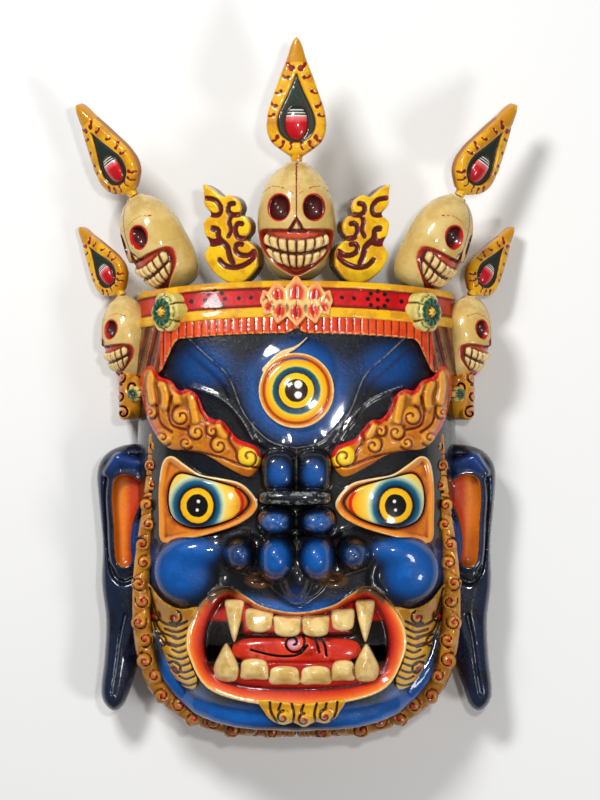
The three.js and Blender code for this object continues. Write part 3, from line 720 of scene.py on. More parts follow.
def eye_mesh():
    height = height_at(*EYE_MIDDLE)
    clay = Clay((26, -36, height - 26), (126, 55, height + 26), FINEST_CELL)

    def rim(x, y):
        return outline_distance(x, y, EYE_RIM)

    def ball(x, y):
        return outline_distance(x, y, EYE_BALL)

    def socket(x, y, z):
        return np.maximum(ball(x, y) - 0.6, -4.5 - skin(x, y, z))

    def bulge(x, y, z):
        away = np.hypot(x - EYE_MIDDLE[0], y - EYE_MIDDLE[1])
        rise = EYE_RISE - EYE_FALL * (away / 46) ** 2
        return soft_max(skin(x, y, z) - rise, ball(x, y) + 0.4, 3.0)

    clay.join(relief(rim, lambda x, y: 5.2 - 2.4 * eased(-rim(x, y), 1.0, 7.0), 14, 1.2))
    clay.carve(boxed(socket, (34, -28, height - 20), (120, 36, height + 30)), 1.0)
    clay.join(boxed(bulge, (34, -30, height - 20), (120, 36, height + 24)))
    clay.keep(lambda x, y, z: -12 - skin(x, y, z))

    def paints(x, y, z):
        across, up = x - EYE_MIDDLE[0], y - EYE_MIDDLE[1]
        # Two white dots on the pupil: painted reflections of two lights
        spots = np.minimum(np.hypot(across + 0.5, up - 3.6) - 1.5, np.hypot(across - 0.5, up + 3.6) - 1.4)
        return {
            "pupil": np.hypot(across * (1 + 0.12 * (across < 0)), up),
            "rim": rim(x, y),
            "ball": ball(x, y),
            "arc": line_distance(x, y, RED_ARC),
            "spots": spots,
            "upper": y - 0.25 * (x - 40),
        }

    return clay.cast("eye", paints)


def third_eye_mesh():
    mx, my = THIRD_EYE
    height = height_at(mx, my)
    clay = Clay((-36, my - 36, height - 8), (36, my + 46, height + 22), FINEST_CELL)
    tail_line = smooth_line(THIRD_EYE_TAIL, 14)

    def away(x, y):
        return np.hypot(x - mx, y - my)

    def tail(x, y):
        return line_distance(x, y, tail_line) - 2.6 + 2.2 * eased(x, -16, 10)

    def outline(x, y):
        return np.minimum(away(x, y) - THIRD_EYE_RADIUS, tail(x, y))

    def rise(x, y):
        reach = away(x, y)
        ring = 9.5 - 1.6 * eased(THIRD_EYE_RADIUS - reach, 1.0, 2.5)
        groove = 1.0 * np.exp(-((reach - 27.0) / 1.0) ** 2)
        dome = 1.8 * np.sqrt(np.maximum(1 - (reach / 25) ** 2, 0))
        return ring - groove + dome + 2.5 * eased(14 - reach, 0, 10)

    def paints(x, y, z):
        # Two white dots on the pupil: painted reflections of two lights
        spots = np.minimum(np.hypot(x - 1.5, y - my - 5.0) - 3.3, np.hypot(x - 1.5, y - my + 3.8) - 3.0)
        return {"reach": away(x, y), "tail": tail(x, y), "spots": spots}

    clay.join(relief(outline, rise, 6, 1.0))
    return clay.cast("third_eye", paints)


# Brows

BROW = smooth_line([
    (31, 37), (40, 29), (58, 37), (75, 47), (92, 50.5), (108, 53), (120, 66), (128, 84), (132, 104),
    (131, 119), (121, 122), (115, 113), (105, 109), (98, 101), (90, 102), (82, 96), (77, 84), (70, 77),
    (62, 76), (55, 68), (49, 61), (42, 58), (33, 54), (29, 46),
], 110, True)
# Curls: centre, radius, start in turns and hand
BROW_CURLS = [
    (96, 79, 9.5, 0.2, -1), (83, 66, 8.0, 0.1, -1), (64, 55, 8.5, 0.2, -1), (39.5, 45.5, 10.5, 0.05, -1),
    (112, 61, 8.0, 0.6, 1), (92, 57, 6.0, 0.6, 1), (123, 82, 6.5, 0.5, 1), (70, 67, 5.5, 0.1, -1),
]
BROW_LOBES = [
    [(121, 92), (123, 104), (122, 114)], [(110, 88), (110, 98), (113, 106)], [(84, 76), (86, 87), (87, 97)],
    [(60, 63), (64, 69), (64, 73)], [(100, 92), (101, 97), (103, 104)],
]
BROW_SEAMS = [
    [(28, 36), (46, 39), (62, 45), (80, 49), (96, 51)], [(104, 66), (114, 74), (117, 88)],
    [(75, 76), (79, 84), (82, 92)], [(92, 68), (104, 72), (107, 84), (104, 96)],
    [(50, 50), (56, 60), (54, 66)], [(118, 62), (127, 78), (129, 96)],
]


def brow_mesh():
    height = height_at(80, 75)
    clay = Clay((24, 24, 30), (138, 128, height + 22), 0.75)
    seams = curls(BROW_CURLS) + [smooth_line(line, 12) for line in BROW_SEAMS]
    lobes = [smooth_line(line, 8) for line in BROW_LOBES]

    def outline(x, y):
        return outline_distance(x, y, BROW)

    def rise(x, y):
        body = 6.0 + 2.2 * eased(-outline(x, y), 0, 6)
        lobe = 4.0 * eased(5.5 - nearest_line(x, y, lobes), 0, 4.5)
        coil = coil_height(x, y, BROW_CURLS, 4.2, -1.5)
        seam = 2.0 * (1 - eased(nearest_line(x, y, seams), 0.3, 1.8))
        return body + np.maximum(lobe, coil) - seam

    def paints(x, y, z):
        upper = outline(x, y) - 6 * eased(45 + 0.2 * (x - 31) - y, -2, 2)
        core = np.minimum(nearest_disc(x, y, BROW_CURLS, 0.62), nearest_line(x, y, lobes) - 2.6)
        return {"edge": upper, "seam": nearest_line(x, y, seams), "core": core, "inner": x}

    clay.join(relief(outline, rise, 3, 2.4))
    return clay.cast("brow", paints)


# Hair: whisker fields, beard and chin tuft

WHISKERS = smooth_line([
    (131, -58), (131.5, -84), (130, -106), (123, -126), (107, -142), (88, -150),
    (83, -141), (89, -126), (92, -108), (88, -92), (82, -80), (97, -82), (112, -76), (123, -64),
], 70, True)
WHISKER_CURLS = [
    (102, -90, 6.4, 0.3, 1), (121, -90, 6.0, 0.4, 1), (115, -111, 6.4, 0.2, 1), (102, -133, 6.8, 0.1, 1),
]
WHISKER_COUNT = 10


def whisker_strokes():
    lines = curls(WHISKER_CURLS)
    for i in range(WHISKER_COUNT):
        y = -95 - 5.6 * i
        x = 100 - 0.12 * i * i
        reach = 11 if i % 2 else 6
        lines.append(smooth_line([(x - 9, y + 3.0), (x, y - 1.2), (x + reach, y + 0.6)], 8))
    for low in (0, 9, 17):
        lines.append(smooth_line([(124, -66 - low), (116, -92 - low), (101, -97 - low)], 10))
    return lines


def whisker_mesh():
    clay = Clay((78, -154, 20), (134, -52, 130), 0.85)
    strokes = whisker_strokes()

    def rise(x, y):
        return 3.6 - 1.5 * (1 - eased(nearest_line(x, y, strokes), 0.4, 1.7))

    def paints(x, y, z):
        core = nearest_disc(x, y, WHISKER_CURLS, 0.32)
        return {"ink": nearest_line(x, y, strokes), "core": core, "low": -y}

    clay.join(relief(lambda x, y: outline_distance(x, y, WHISKERS), rise, 3, 1.5))
    return clay.cast("whiskers", paints)


BEARD_PATH = smooth_line([
    (120, 62), (121.5, 34), (124, 8), (127, -18), (130, -43), (131.5, -72), (130.5, -104), (126, -129),
    (118, -149), (102, -166), (84, -176.5), (59, -184), (30, -186.5), (0, -187.5),
], 80)
CURL_PITCH = 16.5
RIB_PITCH = 3.6
STRANDS = 38
CURL_SWING = 1.8
RIB_BEND = ((-1, 0), (4, 1), (8, 3.5))
BEARD_EDGE = 44.0


def along_beard():
    """How far along the beard each point of its path is."""
    steps = np.hypot(*np.diff(BEARD_PATH, axis=0).T)
    return np.concatenate([[0], np.cumsum(steps)])


def on_beard(at):
    return [float(np.interp(at, along_beard(), BEARD_PATH[:, axis])) for axis in (0, 1)]


def beard_curls():
    items = []
    for i in range(int(along_beard()[-1] / CURL_PITCH)):
        at = (i + 0.5) * CURL_PITCH
        x, y = on_beard(at)
        hand = 1 if i % 2 else -1
        radius = np.interp(at, [0, 90, 200], [4.4, 6.2, 7.2])
        place = (x + hand * CURL_SWING * x / HALF_WIDTH, y + hand * CURL_SWING * y / HALF_LENGTH)
        items.append((*place, radius, 0.1 + 0.37 * i, hand))
    return items


def beard_ribs(items):
    """Short strokes of hair across the roll, where there is no curl."""
    lines = []
    for at in np.arange(4, along_beard()[-1], RIB_PITCH):
        x, y = on_beard(at)
        if nearest_disc(x, y, items, 1.0) > 0.5:
            out = Vector((x / HALF_WIDTH, y / HALF_LENGTH)).normalized()
            ends = [(x + reach * out.x, y + reach * out.y - drop) for reach, drop in RIB_BEND]
            lines.append(np.array(ends))
    return lines


def beard_strand(x, y, z):
    """The combed hair on the wall of the beard: 0 in the grooves and 1 on the strands."""
    return np.abs(np.cos(STRANDS * np.arctan2(y, x) + 0.5 * np.sin(z / 6)))


def beard_mesh():
    """A roll of curls that stands on the edge of the face."""
    items = beard_curls()
    lines = curls(items)
    ribs = beard_ribs(items)
    clay = Clay((-3, -202, -2), (150, 68, 90), 1.0)

    def level(y):
        return float(np.interp(y, [-187, -150, -100, -50, 60], [56, 57, 65, 71, 76]))

    def width(y):
        return float(np.interp(y, [-187, -150, -60, 0, 60], [6.8, 8.4, 7.4, 6.0, 4.4]))

    def wall(x, y, z):
        away = line_distance(x, y, BEARD_PATH) - 5.0 + 0.03 * (y + 60) * (y > -60)
        return soft_max(away - 1.3 * beard_strand(x, y, z), np.abs(z - 27) - 25, 2.0)

    def below_roll(z):
        return np.maximum(BEARD_EDGE - z, 0) * 0.3

    path = BEARD_PATH[::3]
    clay.join(tube([(x, y, level(y)) for x, y in path], [width(y) for _, y in path]))
    clay.join(tube([(x * 0.985, y * 0.985, 20.0) for x, y in path], [width(y) * 0.8 for _, y in path]), 3.0)
    for x, y, radius, *_ in items:
        clay.join(lump((x, y, level(y) + 2), (radius + 0.4, radius + 0.4, width(y) + 1.4), 2.3), 0.8)
    clay.join(wall, 2.0)
    for strokes, half_width in ((lines, 0.4), (ribs, 0.2)):
        clay.carve(lambda x, y, z: nearest_line(x, y, strokes) - half_width + below_roll(z), 1.6)
    clay.keep(lambda x, y, z: np.maximum(np.maximum(1.5 - z, -193.4 - y), 0.2 - x))

    def paints(x, y, z):
        on_roll = np.minimum(nearest_line(x, y, lines), nearest_line(x, y, ribs) + 0.15)
        seam = np.where(z < BEARD_EDGE, 1.0 + 3.0 * beard_strand(x, y, z), on_roll)
        return {"seam": seam, "core": nearest_disc(x, y, items, 0.3) + FAR * (z < 40), "low": -y}

    return clay.cast("beard", paints)


TUFT = smooth_line([
    (-30, -156), (5, -159), (39, -156), (36, -167), (31, -173.5), (24, -177), (15.5, -175.5),
    (6.5, -180), (-2.5, -176), (-11, -178), (-20, -174.5), (-26, -168),
], 60, True)
TUFT_CURLS = [(-11, -171, 5.6, 0.25, 1), (6.5, -173, 5.6, 0.25, 1), (24, -170, 5.8, 0.25, 1)]
TUFT_STRANDS = [
    [(-22, -158), (-21, -167), (-16, -175)], [(-4, -159), (-2, -168), (-3, -176)],
    [(17, -159), (15, -168), (16, -175)], [(34, -158), (33, -167), (29, -174)],
    [(-13, -159), (-15, -165)], [(6, -160), (4, -166)], [(25, -159), (24, -164)],
]


def tuft_mesh():
    clay = Clay((-36, -188, 60), (46, -155, 132), 0.8)
    lines = curls(TUFT_CURLS, 0.9) + [smooth_line(strand, 8) for strand in TUFT_STRANDS]

    def rise(x, y):
        coil = coil_height(x, y, TUFT_CURLS, 3.0, -1)
        groove = 1.4 * (1 - eased(nearest_line(x, y, lines), 0.3, 1.6))
        return 6.0 + 3.5 * eased(-162 - y, 0, 10) + coil - groove

    def paints(x, y, z):
        return {"ink": nearest_line(x, y, lines), "core": nearest_disc(x, y, TUFT_CURLS, 0.4), "low": -y}

    clay.join(relief(lambda x, y: outline_distance(x, y, TUFT), rise, 12, 2.5))
    return clay.cast("tuft", paints)


# Crown band, frill, lotus, rosettes and lappets

DOT_ROW = (38, 48, 88, 98, 107)
DOT_FLOWER = (68, 14.0)
DOT_RADIUS = 2.0
LOW_RIM_DROP = BAND_HEIGHT - BAND_LOW_RIM
STRIPE_DEPTH = 2.2


def band_dots():
    """Black dots along the red stripe, with a flower of dots on each side."""
    middle, drop = DOT_FLOWER
    angles = np.arange(8) * math.pi / 4
    flower = [(middle + 8.2 * math.cos(a), drop + 7.0 * math.sin(a)) for a in angles]
    return [(x, drop) for x in DOT_ROW] + flower + [DOT_FLOWER]


def band_mesh():
    clay = Clay((-154, 150, -2), (154, 196, 138), 1.0)
    dots = band_dots()

    def rise(x, y):
        drop = band_drop(x, y)
        below = eased(drop, BAND_TOP_RIM, BAND_TOP_RIM + 1.2)
        above = 1 - eased(drop, LOW_RIM_DROP - 1.2, LOW_RIM_DROP)
        return BAND_RELIEF - STRIPE_DEPTH * below * above

    def outline(x, y):
        return np.abs(band_drop(x, y) - BAND_HEIGHT / 2) - BAND_HEIGHT / 2

    def paints(x, y, z):
        drop = band_drop(x, y)
        dot = np.float32(FAR)
        for dx, level in dots:
            dot = np.minimum(dot, np.hypot(np.abs(x) - dx, drop - level) - DOT_RADIUS)
        return {"drop": drop, "dot": dot + FAR * (z < 60)}

    clay.join(relief(outline, rise, 3, 2.5))
    clay.keep(lambda x, y, z: 0.6 - z)
    clay.keep(lambda x, y, z: np.abs(x) - 151.5)
    return clay.cast("band", paints)


def frill_low(x):
    """Where the frill ends, as a drop below the top of the band."""
    notch = 4.0 * np.exp(-(x / 5.0) ** 2)
    return BAND_HEIGHT + FRILL_HEIGHT - notch + 27 * eased(np.abs(x), 98, 117)


def pleats(x):
    """1 on the pleats of the frill and -1 between them."""
    return np.cos(2 * math.pi * (np.abs(x) + 0.6) / PLEAT_PITCH)


def frill_mesh():
    clay = Clay((-150, 100, -2), (150, 170, 138), 1.0)

    def rise(x, y):
        folds = np.cos(2 * math.pi * (np.abs(x) - 114 + 0.25 * (y - 140)) / 9.0)
        strap = eased(np.abs(x), 112, 117)
        return (6.4 - 0.8 * (1 - eased(pleats(x), -1, -0.55))) * (1 - strap) + (5.6 + 1.2 * folds) * strap

    def outline(x, y):
        drop = band_drop(x, y)
        ripple = 0.4 * np.cos(2 * math.pi * np.abs(x) / PLEAT_PITCH)
        return np.maximum(drop - frill_low(x) + ripple, BAND_HEIGHT - 4 - drop)

    def paints(x, y, z):
        return {"pleat": pleats(x), "strap": np.abs(x) - 114.5, "tip": frill_low(x) - band_drop(x, y)}

    clay.join(relief(outline, rise, 3, 1.6))
    clay.keep(lambda x, y, z: 8 - z)
    return clay.cast("frill", paints)


# Petals that point up and down: place, lean and size
PETAL_ROWS = [
    (1, [(-24, 1, 0.45, 0.72), (24, 1, -0.45, 0.72), (-15.5, 5, 0.16, 0.95), (15.5, 5, -0.16, 0.95),
         (0, 7, 0.0, 1.15)]),
    (-1, [(-23, -5, 0.5, 0.66), (23, -5, -0.5, 0.66), (-14, -9, 0.2, 0.82), (14, -9, -0.2, 0.82),
          (0, -10, 0.0, 0.92)]),
]
PETAL_HALF_WIDTH = 9.2
PETAL_HALF_LENGTH = 12.5
LOTUS_Y = 175.5


def petal_parts(x, y):
    """For each petal: how far inside it a point is, how far along and across it, and its size."""
    for way, row in PETAL_ROWS:
        for px, py, lean, size in row:
            dx, dy = x - px, (y - LOTUS_Y - py) * way
            across = dx * math.cos(lean) + dy * math.sin(lean)
            along = -dx * math.sin(lean) + dy * math.cos(lean)
            length = PETAL_HALF_LENGTH * size
            taper = 1 - 0.55 * eased(along, size, length)
            inside = np.hypot(across / (PETAL_HALF_WIDTH * size * taper), along / length) - 1
            yield inside, along / size, across, size + 0.35 * (way > 0)


def lotus_mesh():
    clay = Clay((-38, 146, 96), (38, 202, 146), 0.75)

    def form(x, y, z):
        over = skin(x, y, z)
        best = np.float32(FAR)
        for inside, along, across, size in petal_parts(x, y):
            edge = inside * 7
            lift = BAND_RELIEF + 1.0 + 3.2 * size + 2.0 * eased(along, -4, 12)
            lift = lift - 0.9 * np.exp(-across ** 2) - 2.2 * eased(edge, -5, 0)
            best = np.minimum(best, soft_max(over - lift, edge, 1.5))
        return np.maximum(best, 2 - over)

    def paints(x, y, z):
        inside, along = np.full_like(x, 1.0), np.zeros_like(x)
        vein = np.full_like(x, FAR)
        for part, share, across, size in petal_parts(x, y):
            nearer = (part < 0.0) | ((part < inside) & (inside > 0))
            inside = np.where(nearer, part, inside)
            along = np.where(nearer, share, along)
            vein = np.where(nearer, np.abs(across) - 0.25, vein)
        return {"inside": inside, "along": along, "vein": vein + FAR * (along > 6)}

    clay.join(form)
    clay.keep(lambda x, y, z: y - 199)
    return clay.cast("lotus", paints)


# Radius, place and turn to the side
ROSETTES = {"rosette": (17.5, (108, 166.5, 97), 0.85), "lappet_flower": (7, (137, 98, 56), 0.5)}
ROSETTE_PETALS = 6
KNOB_DOTS = 7


def rosette_mesh(radius):
    clay = Clay((-radius - 2, -radius - 2, -9), (radius + 2, radius + 2, 15), 0.7)

    def lobes(angle):
        return np.abs(np.cos(ROSETTE_PETALS / 2 * angle))

    def form(x, y, z):
        away, angle = np.hypot(x, y), np.arctan2(y, x)
        rim = away - radius * (0.84 + 0.16 * lobes(angle) ** 0.6)
        groove = 1.6 * np.exp(-(lobes(angle) / 0.16) ** 2)
        disc = soft_max(rim, z - 3.5 + groove - 0.12 * (away - radius * 0.5), 2.5)
        ring = np.hypot(away - radius * 0.5, z - 3.4) - radius * 0.27 - 0.35 * np.cos(12 * angle)
        knob = np.sqrt(away ** 2 + ((z - 3) * 0.75) ** 2) - radius * 0.3
        return np.maximum(soft_min(np.minimum(disc, ring), knob, 0.5), -8 - z)

    def paints(x, y, z):
        away, angle = np.hypot(x, y), np.arctan2(y, x)
        around = (angle / (2 * math.pi) * KNOB_DOTS) % 1 - 0.5
        inner = np.hypot(away - radius * 0.22, around * radius * 0.2) - 0.75
        dots = np.minimum(inner, away - 0.8) + FAR * (z < 4)
        return {"reach": away / radius, "dots": dots, "lobe": lobes(angle)}

    clay.join(form)
    return clay.cast("rosette", paints)


LAPPET_CURLS = [(150, 113, 8, 0.1, -1), (151, 97, 9, 0.3, -1), (148, 82, 7, 0.0, 1), (139, 104, 6, 0.6, 1)]


def lappet_mesh():
    clay = Clay((126, 68, -2), (156, 128, 62), 0.9)
    lines = curls(LAPPET_CURLS)

    def paints(x, y, z):
        behind = FAR * (z < 26)
        core = nearest_disc(x, y, LAPPET_CURLS, 0.3)
        return {"seam": nearest_line(x, y, lines) + behind, "core": core + behind, "low": -y}

    clay.join(lump((140.5, 99, 29), (13.5, 24, 27.5), 2.6))
    for x, y, radius, *_ in LAPPET_CURLS:
        clay.join(lump((min(x, 152 - radius), y, 38), (radius, radius, 19), 2.4), 1.5)
    clay.carve(lambda x, y, z: nearest_line(x, y, lines) - 0.7 + np.maximum(36 - z, 0) * 0.4, 1.2)
    clay.keep(lambda x, y, z: x - 152)
    clay.keep(lambda x, y, z: 1.2 - z)
    return clay.cast("lappet", paints)


# Crown skulls

TOOTH_TURN = 0.29
MOUTH_TURN = 1.38
MOUTH_POWER = 2.8
BITE_LEVEL = 0.222
BITE_RISE = 0.12
SOCKET = (14.7, 61.0, 8.8, 10.8)
SKULL_BROW = smooth_line([(2.7, 72.5), (12, 77.5), (20, 79), (27, 75)], 14)


def skull_base(x, y, z):
    tall, wide = SKULL_HEIGHT, SKULL_WIDTH
    egg = lump((0, tall * 0.505, 0), (wide * 0.5, tall * 0.495, wide * 0.455))
    back = lump((0, tall * 0.27, -10), (wide * 0.40, tall * 0.27, wide * 0.29), 2.4)
    return soft_max(soft_min(egg(x, y, z), back(x, y, z), 8), 0.3 - y, 3)


def skull_mouth(x, y, z):
    """Distances on the mouth of a skull: from its edge, from the nearest tooth and from the bite line."""
    turn = np.arctan2(x, z + 2)
    bend = 1 - np.cos(turn)
    bite = SKULL_HEIGHT * (BITE_LEVEL + BITE_RISE * bend)
    middle = bite + SKULL_HEIGHT * 0.012
    half = SKULL_HEIGHT * (0.192 - 0.045 * bend)
    level = np.abs(turn / MOUTH_TURN) ** MOUTH_POWER + np.abs((y - middle) / half) ** MOUTH_POWER
    mouth = (level ** (1 / MOUTH_POWER) - 1) * half
    column = ((turn / TOOTH_TURN) % 1 - 0.5) * TOOTH_TURN * 28
    row = np.abs(y - bite)
    across, up = np.maximum(np.abs(column) - 1.5, 0), np.maximum(np.abs(row - 6.3) - 3.1, 0)
    tooth = np.maximum(np.hypot(across, up) - 1.75, mouth + 2.6)
    return mouth, tooth, row


def skull_nose(x, y):
    """Wedge under the cranium, wider below."""
    height = (y / SKULL_HEIGHT - 0.40) / 0.13
    return np.maximum(np.abs(x) - 8.5 * np.clip(1 - height, 0, 1), -height * 13)


def skull_mesh():
    clay = Clay((-36, -2, -34), (36, 103, 34), 0.9)

    def form(x, y, z):
        mouth, tooth, row = skull_mouth(x, y, z)
        sunk = 3.6 * eased(-mouth, -0.6, 2.2) - 4.2 * eased(-tooth, -0.8, 1.6)
        wedge = eased(-skull_nose(x, y), -0.5, 2.0) * (z > 0)
        return skull_base(x, y, z) + sunk + (3.5 - 2.6 * np.exp(-(x / 2.0) ** 2)) * wedge

    def paints(x, y, z):
        mouth, tooth, row = skull_mouth(x, y, z)
        ax = np.abs(x)
        back, deep = FAR * (z < 0), FAR * (z < 8)
        socket = (np.hypot((ax - SOCKET[0]) / SOCKET[2], (y - SOCKET[1]) / SOCKET[3]) - 1) * 9
        zigzag = np.abs(x - 1.1 * np.sin(y * 1.6)) + back
        return {
            "mouth": mouth, "tooth": tooth, "bite": row, "socket": socket + deep, "height": y,
            "nose": skull_nose(x, y) + deep, "line": line_distance(ax, y, SKULL_BROW) + back,
            "crack": np.where(y > 86, zigzag, ax + 0.35 + FAR * (y < 72) + back),
        }

    clay.join(form)
    for side in SIDES:
        clay.carve(lump((side * SOCKET[0], SOCKET[1], 30), (SOCKET[2], SOCKET[3], 14), 2.4), 1.5)
    clay.join(tube([(0, 92, 0), (0, 99.4, 0)], 8.2), 1.5)
    clay.keep(lambda x, y, z: y - 99.8)
    return clay.cast("skull", paints)


SKULLS = {
    "centre": dict(base=(0, 193.3, 78.1), size=1.0, lean=0, turn=0, flame_lean=0, flame_turn=0),
    "upper": dict(
        base=(101.4, 185.3, 60.5), size=0.88, lean=0.42, turn=0.98, flame_lean=0.17, flame_turn=0.72),
    "lower": dict(
        base=(142.5, 110.0, 42.8), size=0.72, lean=0.08, turn=1.15, flame_lean=0.6, flame_turn=0.72),
}


def skull_place(stand):
    lean = Matrix.Rotation(-stand["lean"], 4, "Z")
    turn = Matrix.Rotation(stand["turn"], 4, "Y")
    return Matrix.Translation(stand["base"]) @ lean @ turn @ Matrix.Scale(stand["size"], 4)


def flame_place(stand):
    size = stand["size"]
    lean = Matrix.Rotation(-stand["lean"], 4, "Z")
    rise = Matrix.Translation((0, SKULL_HEIGHT * size, 0))
    turn = Matrix.Rotation(stand["flame_turn"], 4, "Y") @ Matrix.Rotation(-stand["flame_lean"], 4, "Z")
    return Matrix.Translation(stand["base"]) @ lean @ rise @ turn @ Matrix.Scale(size, 4)


# Flame jewels

# Outlines as shares of the height and of the half width
FLAME_SIDE = [
    (0.0, 0.25), (0.035, 0.46), (0.09, 0.75), (0.146, 0.91), (0.23, 1.0), (0.314, 0.98), (0.397, 0.92),
    (0.537, 0.73), (0.676, 0.54), (0.816, 0.32), (0.913, 0.21), (0.97, 0.11), (1.0, 0.02),
]
PANEL_SIDE = [
    (0.11, 0.2), (0.13, 0.5), (0.18, 0.85), (0.26, 1.0), (0.33, 0.95), (0.42, 0.72), (0.52, 0.42),
    (0.61, 0.18), (0.68, 0.0),
]
FLAME_FOOT = 0.055
PANEL_HALF_WIDTH = 15.8
GEM_UP = 0.31
# Hooked strokes on the border: height share, width share, angle, length and head radius
COMMAS = [
    (0.765, 0.22, 1.1, 8.0, 2.5), (0.66, 0.36, 0.3, 5.0, 1.6), (0.53, 0.60, -0.3, 4.5, 1.4),
    (0.43, 0.76, 0.8, 5.5, 1.7), (0.335, 0.84, -0.2, 4.5, 1.4), (0.135, 0.72, -0.7, 5.5, 1.9),
    (0.085, 0.50, -1.0, 6.0, 1.6), (0.072, 0.20, -1.35, 5.5, 1.3),
]


def flame_height(share):
    return FLAME_LENGTH * (FLAME_FOOT + (1 - FLAME_FOOT) * share)


def teardrop(shares, half_width):
    half = smooth_line([(half_width * width, flame_height(up)) for up, width in shares], 26)
    return np.vstack([half, half[::-1] * (-1, 1)])


def comma_distance(x, y):
    """Each stroke has a round head and a thinner tail."""
    best = np.float32(FAR)
    for share, width, angle, length, head_radius in COMMAS:
        cx, cy = FLAME_HALF_WIDTH * width, flame_height(share)
        dx, dy = math.cos(angle) * length / 2, math.sin(angle) * length / 2
        stroke = smooth_line([(cx + dx, cy + dy), (cx + dy * 0.4, cy - dx * 0.4), (cx - dx, cy - dy)], 6)
        best = np.minimum(best, line_distance(np.abs(x), y, stroke) - head_radius * 0.5)
        best = np.minimum(best, np.hypot(np.abs(x) - cx + dx, y - cy + dy) - head_radius)
    return best


def flame_mesh():
    half = FLAME_THICKNESS / 2
    gem_y = FLAME_LENGTH * GEM_UP
    clay = Clay((-29, 0, -9), (29, 108, 12), 0.75)
    outer = teardrop(FLAME_SIDE, FLAME_HALF_WIDTH)
    panel = teardrop(PANEL_SIDE, PANEL_HALF_WIDTH)

    def form(x, y, z):
        edge = outline_distance(x, y, outer)
        deep = outline_distance(x, y, panel)
        swell = half - 2.6 + 2.6 * np.sqrt(np.clip(-edge / 7, 0, 1)) - 2.4 * eased(-deep, -1.8, 0.6)
        groove = 0.7 * (1 - eased(comma_distance(x, y), -0.4, 0.8))
        front = soft_max(z - swell + groove, edge, 3.0)
        return soft_max(front, -z - half + 0.2, 4.0)

    def paints(x, y, z):
        behind = FAR * (z < 1.5)
        gem = (np.hypot(x / 9.2, (y - gem_y) / 14) - 1) * 9
        return {
            "panel": outline_distance(x, y, panel) + behind, "gem": gem + behind, "stripe": y,
            "comma": comma_distance(x, y) + behind, "up": y / FLAME_LENGTH, "height": z,
        }

    clay.join(form)
    clay.join(lump((0, gem_y, half - 3.2), (9.6, 14.5, 6.2), 2.2), 0.5)
    clay.join(tube([(0, 1.2, 0), (0, 9, 0)], [4.8, 5.5]), 1.5)
    clay.keep(lambda x, y, z: 0.6 - y)
    return clay.cast("flame", paints)


# Scroll wings

# Outline and strokes as shares of the width and of the height
SCROLL = [
    (0, .18), (.22, .04), (.53, .03), (.83, .15), (.96, .3), (.88, .4), (.95, .5), (.98, .62), (.86, .7),
    (.97, .8), (.98, .93), (1, 1), (.82, .95), (.64, .87), (.5, .885), (.36, .84), (.30, .76), (.33, .69),
    (.22, .67), (.14, .6), (.15, .52), (.23, .455), (.13, .42), (.03, .35), (-.01, .25),
]
SCROLL_HOOKS = [
    ([(.92, .86), (.76, .84), (.66, .77), (.68, .70), (.80, .69), (.89, .72)], 1.6),
    ([(.42, .80), (.50, .79), (.52, .73), (.44, .69), (.33, .69)], 1.7),
    ([(.27, .60), (.35, .60), (.39, .54), (.34, .47), (.23, .455)], 1.7),
    ([(.44, .69), (.50, .63), (.47, .54), (.52, .48)], 1.5),
    ([(.27, .40), (.36, .40), (.39, .35), (.31, .30), (.15, .29), (.05, .33)], 1.7),
    ([(.80, .56), (.71, .54), (.69, .46), (.54, .38), (.49, .28), (.44, .22)], 2.0),
    ([(.90, .44), (.80, .42), (.69, .43)], 2.6),
    ([(.68, .25), (.56, .19), (.36, .175), (.15, .22), (.0, .30)], 1.7),
]
HOOK_WEIGHT = 1.25
HOOK_DEPTH = 1.6


def scroll_mesh():
    width, height = SCROLL_SIZE
    half = SCROLL_THICKNESS / 2
    ring = smooth_line(scaled(SCROLL, SCROLL_SIZE), 120, True)
    hooks = [(smooth_line(scaled(line, SCROLL_SIZE), 14), size) for line, size in SCROLL_HOOKS]
    clay = Clay((-3, -1, -10), (width + 3, height + 2, 10), 0.8)

    def hook_distance(x, y):
        best = np.float32(FAR)
        for line, size in hooks:
            best = np.minimum(best, line_distance(x, y, line) - size * HOOK_WEIGHT)
        return best

    def form(x, y, z):
        groove = HOOK_DEPTH * (1 - eased(hook_distance(x, y), -0.8, 0.8))
        front = soft_max(z - half + 0.3 + groove, outline_distance(x, y, ring), 2.2)
        return soft_max(front, -z - half + 0.2, 3.0)

    def paints(x, y, z):
        return {"hook": hook_distance(x, y) + FAR * (z < half - 4), "height": z}

    clay.join(form)
    clay.keep(lambda x, y, z: np.abs(x - width / 2) - width / 2, 0.5)
    return clay.cast("scroll", paints)


SCROLL_PLACE = Matrix.Translation((30.4, 189.6, 83.2)) @ Matrix.Rotation(0.4, 4, "Y")


# Ears

# Outlines and strokes as shares of the width and of the height
EAR = [
    (0, .98), (.3, 1), (.7, .97), (.9, .9), (.86, .76), (.8, .62), (.82, .48), (.74, .34), (.77, .2),
    (.83, .06), (.63, 0), (.41, .02), (.25, .1), (.11, .19), (-.1, .32), (-.2, .45), (-.2, .85),
]
CONCHA = [
    (.10, .86), (.32, .885), (.54, .87), (.59, .8), (.56, .71), (.54, .61), (.5, .56), (.38, .545),
    (.26, .565), (.27, .64), (.22, .72), (.10, .785), (.03, .83),
]
LOBE_GROOVE = [(.36, .36), (.46, .26), (.54, .14), (.6, .07)]
INNER_FOLD = [(.0, .7), (.12, .68), (.16, .62), (.10, .57)]
RIM_CREASE = [
    (.0, .945), (.3, .955), (.6, .93), (.72, .84), (.70, .7), (.67, .6), (.6, .52), (.42, .485), (.2, .50),
]
FOLD_LEVEL = 23.0
EAR_ORIGIN = (129.2, -172.9, 21.4)


